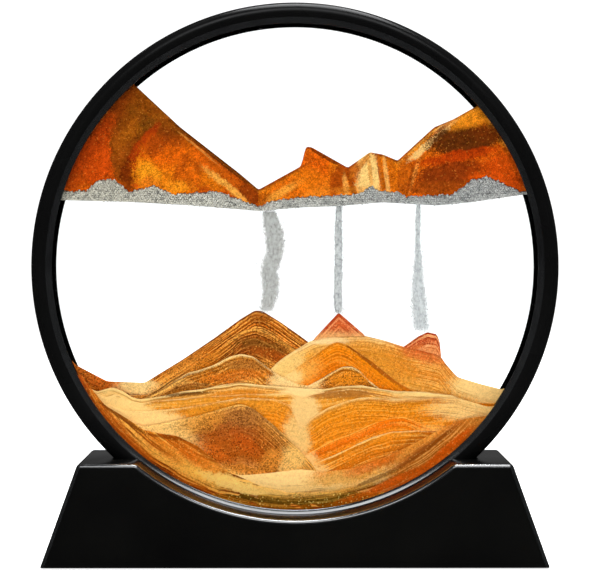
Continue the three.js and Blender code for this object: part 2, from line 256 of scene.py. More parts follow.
def clearThrough(add, cloudMm, detail):  # lets all light through, with the faintest cool cast
    place = add("TexCoord").outputs["Object"]
    cloud = add("TexNoise", {"Scale": 1 / (cloudMm * mm), "Detail": detail}, {"Vector": place})
    tint = add("ValToRGB", links={"Fac": cloud})
    setStops(tint, [(0.3, "#FFFFFF"), (0.7, "#FDFEFE")])
    return add("BsdfTransparent", links={"Color": tint})


# Float glass, clear and flat: only a thin reflection on the outer face, nothing bent behind it
def floatGlass():
    material, add = emptyMaterial("float_glass_clear")
    through = clearThrough(add, cloudMm=40, detail=2)
    mirror = add("BsdfGlossy", {"Roughness": 0.03})
    fresnel = add("Fresnel", {"IOR": 1.45})
    back = add("NewGeometry").outputs["Backfacing"]
    front = add("Math", {"operation": "SUBTRACT", 0: 1}, {1: back})
    share = add("Math", {"operation": "MULTIPLY"}, {0: fresnel, 1: front})
    soft = add("MapRange", {"From Min": 0.04, "From Max": 1}, {"Value": share})
    both = add("MixShader", links={0: soft, 1: through, 2: mirror})
    add("OutputMaterial", links={"Surface": both})
    return material


# Water with a little glycol: clear, and as good as unseen
def clearLiquid():
    material, add = emptyMaterial("clear_water_glycol")
    add("OutputMaterial", links={"Surface": clearThrough(add, cloudMm=60, detail=1)})
    return material


# Dyed quartz sand: each grain has its own shade, so a flat colour breaks into specks. The grains are
# 0.2 to 0.3 mm and are drawn larger, as fine as the picture can show. A look has these values:
# ramp    colours by the depth under the ridge, in millimetres
# lines   pitch of the strata in millimetres, their dark and light colours, and their strength
# base and zones   patches under and over the strata: x, z, half width, half height, turn, colour, softness, strength
# specks  dark and bright grains, each with colour, share and strength, and how far the others vary
# waver, run and ragged bend the strata and the patches' edges; mottle, lift and rough set the shade and polish
grainMm = 0.36
brownSpecks = {"dark": ("#4E2408", 0.26, 0.65), "bright": ("#DC943C", 0.06, 0.5), "vary": 0.22}
orangeSpecks = {"dark": ("#9A4A0A", 0.2, 0.42), "bright": ("#FFC060", 0.05, 0.3), "vary": 0.09}
hungSpecks = {"dark": ("#6A2C08", 0.26, 0.45), "bright": ("#F0A040", 0.03, 0.2), "vary": 0.18}
creamSpecks = {"dark": ("#A8641C", 0.14, 0.35), "bright": ("#FFDC98", 0.04, 0.3), "vary": 0.05}


def sandMaterial(name, look):
    material, add, shader = newMaterial(name, {"Specular IOR Level": 0.06, "IOR": 1.16})
    place = add("TexCoord").outputs["Object"]
    onDisc = add("Mapping", {"Location": (0, 0, -discZ), "Scale": (1 / mm,) * 3}, {"Vector": place})
    cells = add("TexVoronoi", {"Scale": 1 / grainMm}, {"Vector": onDisc})
    shades = add("SeparateColor", links={"Color": cells.outputs["Color"]}).outputs

    # strata, from the depth under the ridge that the UV map holds
    layers = add("UVMap", {"uv_map": "strata"})
    layers = add("Mapping", {"Scale": (100, 100, 1)}, {"Vector": layers})
    waver = add("TexNoise", {"Scale": 0.11, "Detail": 2}, {"Vector": onDisc})
    along = add("SeparateXYZ", links={"Vector": layers}).outputs
    reach = look.get("waver", 0.8)
    shift = add("MapRange", {"To Min": -reach, "To Max": reach}, {"Value": waver})
    depth = add("Math", {"operation": "ADD"}, {0: along["Y"], 1: shift})
    deepest = look["ramp"][-1][0]
    share = add("Math", {"operation": "DIVIDE", 1: deepest}, {0: depth})
    ramp = add("ValToRGB", links={"Fac": share})
    setStops(ramp, [(at / deepest, hexColour) for at, hexColour in look["ramp"]])

    # patches of another colour, each an oval with a ragged, grainy edge: the broad ones lie under the strata. One
    # patch on the upper left sand is a painted shadow along the round frame
    ragged = add("TexNoise", {"Scale": 0.3, "Detail": 5, "Roughness": 0.68}, {"Vector": onDisc})
    bent = []
    for reach in (look.get("ragged", 4.5), 0.7):  # streaks bend less than the broad patches, so they stay whole
        offset = add("VectorMath", {"operation": "MULTIPLY_ADD", 1: (reach,) * 3, 2: (-reach / 2,) * 3},
                     {0: ragged.outputs["Color"]})
        bent.append(add("VectorMath", {"operation": "ADD"}, {0: onDisc, 1: offset}))

    def paint(under, patches):
        for x, z, wide, high, turn, hexColour, soft, strength in patches:
            local = add("Mapping", {"vector_type": "TEXTURE", "Location": (x, 0, z),
                                    "Rotation": (0, -math.radians(turn), 0), "Scale": (wide, 1e4, high)},
                        {"Vector": bent[1 if min(wide, high) < 1.5 else 0]})
            far = add("VectorMath", {"operation": "LENGTH"}, {0: local}).outputs["Value"]
            grainy = add("Math", {"operation": "MULTIPLY_ADD", 1: 0.3}, {0: shades[2], 2: far})
            mask = add("MapRange", {"interpolation_type": "SMOOTHSTEP", "From Min": 1.15 - soft * 0.7,
                                    "From Max": 1.15 + soft * 0.7, "To Min": strength, "To Max": 0},
                       {"Value": grainy})
            under = add("Mix", {"data_type": "RGBA", 7: linear(hexColour)}, {0: mask, 6: under}).outputs[2]
        return under

    colour = paint(ramp, look.get("base", []))
    streaks = None
    if "lines" in look:
        pitch, darkLine, lightLine, boldness = look["lines"]
        run = add("Math", {"operation": "MULTIPLY", 1: look.get("run", 0.035)}, {0: along["X"]})
        rise = add("Math", {"operation": "DIVIDE", 1: pitch * 0.62}, {0: depth})
        streak = add("CombineXYZ", {"Z": look["seed"]}, {"X": run, "Y": rise})
        streaks = add("TexNoise", {"Scale": 1, "Detail": 3, "Roughness": 0.6}, {"Vector": streak})
        patch = add("TexNoise", {"Scale": 0.07, "Detail": 1}, {"Vector": onDisc})
        fade = add("MapRange", {"From Min": 0.35, "From Max": 0.55, "To Min": 0.45, "To Max": 1}, {"Value": patch})
        for hexColour, start, end in ((darkLine, 0.49, 0.44), (lightLine, 0.53, 0.58)):
            mask = add("MapRange", {"From Min": start, "From Max": end, "To Max": boldness}, {"Value": streaks})
            mask = add("Math", {"operation": "MULTIPLY"}, {0: mask, 1: fade})
            colour = add("Mix", {"data_type": "RGBA", 7: linear(hexColour)}, {0: mask, 6: colour}).outputs[2]
    colour = paint(colour, look.get("zones", []))

    # grains: dark ones, bright ones, and a small change of shade from each to the next
    specks = look.get("specks", orangeSpecks)
    crowd = add("TexNoise", {"Scale": 0.16, "Detail": 3}, {"Vector": onDisc})
    crowd = add("MapRange", {"From Min": 0.35, "From Max": 0.65, "To Min": 0.45, "To Max": 1.5}, {"Value": crowd})
    pale = add("SeparateColor", links={"Color": colour}).outputs[2]
    pale = add("MapRange", {"From Min": 0.03, "From Max": 0.25, "To Min": 1, "To Max": 0.25}, {"Value": pale})
    for channel, key in ((0, "dark"), (1, "bright")):
        hexColour, amount, strength = specks[key]
        limit = add("Math", {"operation": "MULTIPLY", 1: amount}, {0: crowd})
        mask = add("Math", {"operation": "LESS_THAN"}, {0: shades[channel], 1: limit})
        mask = add("Math", {"operation": "MULTIPLY", 1: strength}, {0: mask})
        mask = add("Math", {"operation": "MULTIPLY"}, {0: mask, 1: pale})
        colour = add("Mix", {"data_type": "RGBA", 7: linear(hexColour)}, {0: mask, 6: colour}).outputs[2]
    lift = look.get("lift", 1.08)
    tone = add("MapRange", {"To Min": lift - specks["vary"], "To Max": lift + specks["vary"]}, {"Value": shades[2]})
    clumps = add("TexNoise", {"Scale": 1.0, "Detail": 4, "Roughness": 0.7}, {"Vector": onDisc})
    mottle = look.get("mottle", 0.24)
    clumps = add("MapRange", {"From Min": 0.3, "From Max": 0.7, "To Min": 1 - mottle, "To Max": 1 + mottle},
                 {"Value": clumps})
    clumps = add("Mix", {"data_type": "FLOAT", 2: 1}, {0: pale, 3: clumps})
    tone = add("Math", {"operation": "MULTIPLY"}, {0: tone, 1: clumps})
    shaded = add("HueSaturation", {"Hue": 0.495}, {"Value": tone, "Color": colour})
    shaded = add("Mix", {"data_type": "RGBA", "blend_type": "MULTIPLY", 0: 1, 7: (1, 1, 0.8, 1)},
                 {6: shaded}).outputs[2]  # quartz dye soaks up the blue
    rough = add("MapRange", {"To Min": look.get("rough", 0.7), "To Max": 0.95}, {"Value": shades[1]})
    bump = add("Bump", {"Strength": 0.35, "Distance": 0.12 * mm, "invert": True}, {"Height": cells})
    if streaks:
        bump = add("Bump", {"Strength": 0.5, "Distance": 0.15 * mm}, {"Height": streaks, "Normal": bump})
    feed(shader, {"Base Color": shaded, "Roughness": rough, "Normal": bump})
    return material


# Stand: the moulded shell, drawn as its end view and carried back through its depth
stand = {
    "bottomWidth": (standBox[1].x - standBox[0].x) / mm, "depth": (standBox[1].y - standBox[0].y) / mm,
    "bottom": standBox[0].z / mm, "top": standBox[1].z / mm, "topWidth": 145,
    "shelfRadius": 84, "shelfRound": 3.5, "shelfSteps": 60, "roundSteps": 8,
    "grooveRadius": 90.3, "grooveHalf": 7.3, "edge": 1.3, "corner": 1.0, "wall": 2.4, "plateTop": 3.8,
    "bossRadius": 3.4, "bossAt": (62, 13.2), "bossLength": 40,
}


def standOutline(inset, zLow):  # half the outline by the same rules as the solid, then its mirror image
    slope = (stand["bottomWidth"] - stand["topWidth"]) / 2 / (stand["top"] - stand["bottom"])
    sideInset = inset * math.hypot(1, slope)
    zTop = stand["top"] - inset
    radius = stand["shelfRadius"] + inset
    rounding = max(stand["shelfRound"] - inset, 0.5)
    roundZ = zTop - rounding
    roundX = math.sqrt((radius + rounding) ** 2 - (discZ - roundZ) ** 2)
    toCentre = math.atan2(discZ - roundZ, roundX)
    half = [(stand["bottomWidth"] / 2 - (z - stand["bottom"]) * slope - sideInset, z) for z in (zLow, zTop)]
    for i in range(stand["roundSteps"] + 1):
        angle = math.pi / 2 + (math.pi / 2 - toCentre) * i / stand["roundSteps"]
        half.append((roundX + rounding * math.cos(angle), roundZ + rounding * math.sin(angle)))
    for i in range(1, stand["shelfSteps"] + 1):
        angle = -toCentre + (toCentre - math.pi / 2) * i / stand["shelfSteps"]
        half.append((radius * math.cos(angle), discZ + radius * math.sin(angle)))
    return half + [(-x, z) for x, z in reversed(half[:-1])]


def outlineBlock(points, yNear, yFar, bevel=0):
    bpy.ops.mesh.primitive_circle_add(vertices=len(points), radius=1, fill_type="NGON")
    block = bpy.context.object
    for vertex, (x, z) in zip(block.data.vertices, points):
        vertex.co = (x, yNear, z)
    for material in (glossBlack, edgeBlack) if bevel else ():  # the bevel picks the second one by its place
        block.data.materials.append(material)
    edit()
    selectMesh()
    extrude(yFar - yNear)
    faceOut()
    if bevel:
        top, low = max(z for x, z in points), min(z for x, z in points)
        widest = max(x for x, z in points if z > top - 0.01)
        pick("EDGE", lambda m, edge: abs(m.y) < 0.01 and abs(m.x) > widest - 0.01 and m.z > top - 0.01)
        bpy.ops.mesh.bevel(offset=stand["corner"], segments=3, affect="EDGES")
        pick("EDGE", lambda m, edge: abs(m.y) > yFar - 0.01 and m.z > low + 0.01)
        bpy.ops.mesh.bevel(offset=bevel, segments=6, affect="EDGES", material=1)
    done()
    return block


def makeStandShell():
    half = stand["depth"] / 2
    shell = outlineBlock(standOutline(0, stand["bottom"]), -half, half, stand["edge"])
    shell.name = "stand_moulding"
    inner = half - stand["wall"]
    cavity = outlineBlock(standOutline(stand["wall"], stand["bottom"] - 5), -inner, inner)
    channelHalf = stand["grooveHalf"] + stand["wall"]
    cutWith(cavity, cylinder(360, stand["grooveRadius"] + stand["wall"], 2 * channelHalf, (0, 0, discZ), math.pi / 2))
    bossX, bossY = stand["bossAt"]
    for x in (-bossX, bossX):
        for y in (-bossY, bossY):
            place = (x, y, stand["plateTop"] + stand["bossLength"] / 2)
            cutWith(cavity, cylinder(32, stand["bossRadius"], stand["bossLength"], place))
    cutWith(shell, cavity)
    cutWith(shell, cylinder(360, stand["grooveRadius"], 2 * stand["grooveHalf"], (0, 0, discZ), math.pi / 2))
    toFrame(shell)
    finishPiece(shell, "stand", ["stand_shell"], [glossBlack, edgeBlack], angle=28)


makeStandShell()
print("stand shell done")


# Round frame: one section for each half, drawn flat as radius and depth, then spun about the disc's axis
bezel = {
    "outer": bezelBox[1].x / mm, "view": 82.8, "wall": 3.2, "face": -bezelBox[0].y / mm,
    "pane": -paneBox[0].y / mm, "outerRound": 3.39, "innerRound": 1.98, "innerKnee": 84.6, "innerEnd": 5.6,
    "lipRound": 0.22, "tongue": (87.9, 88.9, 0.8), "groove": (87.6, 89.2, 1.1), "seam": 0.15, "steps": 288,
    "slopeEnd": 84.7,
}


def sectionOf(front):
    pocket = bezel["outer"] - bezel["wall"]
    bpy.ops.mesh.primitive_plane_add(size=1)
    section = bpy.context.object
    wide, high = bezel["outer"] - bezel["view"], bezel["face"] - bezel["pane"]
    edit()
    selectMesh()
    bpy.ops.transform.resize(value=(wide, high, 1))
    bpy.ops.transform.translate(value=(bezel["view"] + wide / 2, -bezel["face"] + high / 2, 0))
    bisect((pocket, 0, 0), (1, 0, 0))
    pick("EDGE", lambda m, edge: m.x > pocket + 0.1 and abs(m.y + bezel["pane"]) < 0.01)
    extrude(bezel["pane"])
    if front:
        low, high, length = bezel["tongue"]
    else:
        low, high, length = bezel["groove"]
    for x in (low, high):
        bisect((x, 0, 0), (1, 0, 0))
    if front:
        pick("EDGE", lambda m, edge: low < m.x < high and abs(m.y) < 0.01)
        extrude(length)
    else:
        bisect((0, -length, 0), (0, 1, 0))
        pick("FACE", lambda m, face: low < m.x < high and m.y > -length)
        bpy.ops.mesh.delete(type="FACE")
    mergeFaces()
    selectMesh()
    bpy.ops.mesh.dissolve_limited(angle_limit=0.01)
    bisect((bezel["innerKnee"], 0, 0), (1, 0, 0))
    pick("VERT", lambda m, vertex: m.x < bezel["view"] + 0.01 and m.y < -bezel["face"] + 0.01)
    bpy.ops.transform.translate(value=(0, bezel["face"] - bezel["innerEnd"], 0))
    mergeFaces()
    corners = ((bezel["innerKnee"], -bezel["face"], bezel["innerRound"], 10),
               (bezel["outer"], -bezel["face"], bezel["outerRound"], 14),
               (bezel["view"], -bezel["innerEnd"], bezel["lipRound"], 3), (bezel["outer"], 0, bezel["seam"], 3))
    for x, y, offset, segments in corners:
        pick("VERT", lambda m, vertex: math.hypot(m.x - x, m.y - y) < 0.02)
        bpy.ops.mesh.bevel(offset=offset, segments=segments, affect="VERTICES")
    return section


def makeBezel(front):
    ring = sectionOf(front)
    ring.data.materials.append(satinBlack)
    ring.data.materials.append(edgeBlack)
    if not front:
        selectMesh()
        bpy.ops.transform.resize(value=(1, -1, 1), center_override=(0, 0, 0))
    bpy.ops.mesh.select_mode(type="VERT")
    selectMesh()
    bpy.ops.mesh.delete(type="ONLY_FACE")
    selectMesh()
    bpy.ops.mesh.spin(steps=bezel["steps"], angle=2 * math.pi, center=(0, 0, 0), axis=(0, 1, 0))
    selectMesh()
    bpy.ops.mesh.remove_doubles(threshold=0.002)
    faceOut()
    pick("FACE", lambda m, face: math.hypot(m.x, m.z) < bezel["slopeEnd"] and abs(face.normal.y) > 0.3
         and abs(m.y) > bezel["pane"] + 0.3)
    bpy.context.object.active_material_index = 1
    bpy.ops.object.material_slot_assign()
    done()
    ring.name = "front_frame_half" if front else "rear_frame_half"
    toFrame(ring, pivot)
    node = "front_bezel" if front else "rear_bezel"
    finishPiece(ring, "sand_disc", [node], [satinBlack, edgeBlack], angle=30)


makeBezel(True)
makeBezel(False)
print("round frame done")


# Sand: sheets of relief between the panes, millimetres from the disc's centre
cell = {"radius": 83.6, "half": 2.55, "bedTop": -77.5, "view": 82.8}
fineX = np.linspace(-90, 90, 1801)  # every tenth of a millimetre
meshStep = {"dune": 0.9, "flat": 0.6, "heap": 0.45}


def smoothLine(points, reach):  # the height along x, with the corners of the line rounded over this reach
    heights = np.interp(fineX, [x for x, z in points], [z for x, z in points])
    kernel = np.hanning(max(3, round(reach * 20)))  # the reach on either side, in tenths of a millimetre
    ends = len(kernel)
    padded = np.pad(heights, ends, mode="edge")
    rounded = np.convolve(padded, kernel / kernel.sum(), mode="same")[ends:-ends]
    return lambda x: np.interp(x, fineX, rounded)


def ringTop(x):
    return np.sqrt(np.maximum(cell["radius"] ** 2 - np.square(x), 0))


def ringFloor(x):
    return -ringTop(x)


def swell(x, z, size, seed):  # slow waves from 0 to 1, as a hand-poured bed has
    a = np.sin((x * 0.8 + z * 0.6) / size + seed) + np.sin((x * 0.35 - z * 0.94) / size * 1.7 + seed * 2.3)
    b = np.sin((x * 0.98 + z * 0.2) / size * 2.9 + seed * 4.1)
    return 0.5 + a / 6 + b / 6


def sheetSpan(top, bottom):  # the stretch of x where the sheet has any height
    inside = fineX[top(fineX) - bottom(fineX) > 0.05]
    return inside[0] - 0.3, inside[-1] + 0.3


def coordinates(mesh):
    spots = np.empty(len(mesh.vertices) * 3)
    mesh.vertices.foreach_get("co", spots)
    return spots.reshape(-1, 3)


def underRidge(x, z, top):  # strata that lie parallel to the ridge
    return x, top(x) - z


def alongRing(x, z, top):  # strata that hug the round frame
    far = np.hypot(x, z)
    return np.arctan2(x, -z) * far, cell["view"] - far


def sandSheet(name, top, bottom, front, rear, relief, step, strata=underRidge, span=None):
    xLow, xHigh = span or sheetSpan(top, bottom)
    samples = np.linspace(xLow, xHigh, 200)
    tallest = float(np.max(top(samples) - bottom(samples)))
    columns = max(6, round((xHigh - xLow) / step))
    rows = max(3, round(tallest / step / 2))
    bpy.ops.mesh.primitive_grid_add(x_subdivisions=columns, y_subdivisions=rows, size=2)
    sheet = bpy.context.object
    sheet.name = name
    spots = coordinates(sheet.data)
    x = xLow + (spots[:, 0] + 1) / 2 * (xHigh - xLow)
    low = bottom(x)
    high = np.maximum(top(x), low)
    share = 1 - ((1 - spots[:, 1]) / 2) ** 1.35  # rows lie closer together near the ridge
    spots = np.stack([x, np.full_like(x, rear), low + share * (high - low)], 1)
    sheet.data.vertices.foreach_set("co", spots.ravel())
    edit()
    selectMesh()
    extrude(front - rear)
    selectMesh()
    bpy.ops.mesh.remove_doubles(threshold=0.003)
    faceOut()
    done()
    spots = coordinates(sheet.data)
    x, z = spots[:, 0], spots[:, 2]
    inward = relief(x, z, top(x) - z)
    spots[:, 1] = np.where(spots[:, 1] < (front + rear) / 2, spots[:, 1] + inward, spots[:, 1])
    sheet.data.vertices.foreach_set("co", spots.ravel())
    layer = sheet.data.uv_layers[0]
    layer.name = "strata"
    across, down = strata(x, z, top)
    corners = np.empty(len(sheet.data.loops), dtype=np.int32)
    sheet.data.loops.foreach_get("vertex_index", corners)
    layer.data.foreach_set("uv", np.stack([across[corners], down[corners]], 1).astype(np.float32).ravel() / 100)
    toFrame(sheet, pivot)
    return sheet


def duneRelief(seed, ripple, roll):
    def relief(x, z, under):
        wave = np.sin(2 * np.pi * (under / 3.1 + 0.6 * swell(x, z, 9, seed)))
        crest = np.maximum(0, 1 - under / 1.1) ** 2
        return ripple * (1 + wave) * np.clip(under / 3, 0, 1) + 0.08 * swell(x, z, 6, seed) + roll * crest
    return relief


# Each fold is a ridge line with the colours under it, from the rear pane to the front one. The ridges are x and z,
# front is the depth of the fold's face and soft is how far its corners are rounded, all in millimetres
farPeak = [(-83, -28), (-75.5, -34), (-65, -39.5), (-52, -40), (-38.5, -31.7), (-28, -24.6), (-18.6, -17.8),
           (-13.9, -15.0), (-11.3, -15.2), (-5, -19.1), (1.7, -23.8), (6, -27), (14, -33), (24, -40), (40, -50)]
innerPeak = [(-60, -50), (-51, -44.5), (-43.7, -39.5), (-36.9, -35.4), (-31.7, -31.7), (-23.8, -26.5), (-18.6, -22.3),
             (-13.9, -21), (-9.7, -22.5), (-4.5, -25.7), (1.7, -29.3), (7, -33.5), (14, -39), (30, -50)]
creamSlope = [(-30, -56), (-18, -45), (-11, -38), (-6.6, -33.3), (-3.4, -30.8), (5, -25.6), (9.7, -24.2),
              (14.4, -23.8), (24, -23.7), (30.6, -25.3), (37.5, -27.5), (43.7, -28.8), (50, -30.5), (52, -33.5),
              (56, -38), (63.6, -40.3), (71.5, -42.3)]
centreDune = [(-20, -52), (-8, -41), (-3.4, -37.5), (-0.3, -35.4), (7, -29.9), (12.3, -26.5), (14.6, -25.8),
              (17.5, -26.6), (25.9, -32.2), (35.3, -39.8), (39.5, -42.2), (48, -47)]
paleRidge = [(-62, -52), (-51.1, -44.8), (-43.7, -40.6), (-36.9, -36.4), (-33.3, -35.6), (-28, -33.8), (-22.8, -30.9),
             (-18.6, -29.9), (-14.4, -30.9), (-5.5, -37.5), (1.7, -40.6), (4.4, -41), (9.1, -38.5), (12.3, -36.4),
             (16.5, -34.3), (19.6, -34.2), (22.2, -35.6), (25.9, -39.5), (30.1, -42.7), (42, -50)]
smallHump = [(-70, -52), (-56, -48), (-47.9, -44.8), (-44.2, -42.2), (-40.6, -40.3), (-35.9, -39.4), (-31.7, -40.1),
             (-27.5, -41.1), (-20, -44), (-8, -50)]
longCrest = [(-76, -38), (-72.2, -41), (-68.3, -42.9), (-63.1, -41.4), (-59.4, -42.7), (-56.3, -44.8), (-53.7, -45.5),
             (-49, -45), (-43.7, -44), (-38.5, -42.7), (-32.2, -42.1), (-25.4, -40.6), (-19.2, -39.7), (-12.3, -40.6),
             (1.7, -41.7), (9.1, -42.1), (15.4, -41.1), (22.8, -40.7), (29, -41.9), (34.3, -42.7), (43.7, -42.9),
             (54.2, -44), (64.6, -49)]
brownLens = [(-74, -40), (-70.4, -42.7), (-65.2, -44.8), (-61.5, -43.7), (-57.9, -45.6), (-53.1, -46.9), (-46.9, -46),
             (-33.3, -44.8), (-17.6, -43.7), (-1.8, -43.6), (2.9, -45.3), (6, -44), (12.3, -42.9), (18.6, -41.9),
             (22.8, -42.2), (28, -44), (32.2, -44.8), (45, -46.5), (60, -50)]
twinDunes = [(-68, -46), (-58, -49.5), (-50, -49.5), (-40, -48.5), (-30, -47), (-18.6, -44.9), (-7.1, -45.4),
             (-1.8, -47.6), (0.3, -52), (1.0, -57.5), (2, -55.6), (6, -51.8), (11.2, -48.4), (17.5, -46.2),
             (21.7, -45), (25.9, -44.8), (33.2, -45.4), (41.6, -45.6), (48.9, -44.8), (56.8, -45.3), (66, -48)]
redStreak = [(-20, -78), (-6, -71), (0.8, -66.8), (4.4, -64.1), (12.3, -60), (19.1, -57.3), (25.9, -54.1),
             (33.2, -51.8), (37.4, -51.5), (41.1, -52.9), (43.7, -54.2), (51.5, -54.7), (62, -55.2)]
lowFan = [(-14, -78), (-4, -73), (1.8, -69.9), (9.7, -66.2), (17.5, -62.8), (25.9, -58.6), (33.2, -56.6),
          (41.6, -56.2), (48.9, -56.4), (60, -56)]
leftMound = [(-64, -50), (-52.1, -54.8), (-46.9, -53.9), (-40.6, -52.6), (-33.3, -50.9), (-24.9, -48.5),
             (-18.6, -46.9), (-14.4, -48.5), (-7.1, -54.5), (-1.8, -59.7), (1.7, -63.1), (6, -68), (12, -78)]
lowShelf = [(-60, -60), (-40, -66), (-28, -70.5), (-17.6, -71.5), (-9.7, -70.8), (1.7, -69.4), (10, -70.3), (20, -69),
            (30, -65.6), (40, -61), (50, -55.6), (58, -52), (66, -51)]
ringBand = [(-73, -37), (-71.5, -39.5), (-65.2, -47.4), (-57.3, -52.1), (-52.1, -55.8), (-46.3, -57.1),
            (-40.6, -57.9), (-33.3, -61.5), (-27.5, -66.2), (-22.8, -70.2), (-12.3, -75), (1.7, -78.5), (14, -84)]

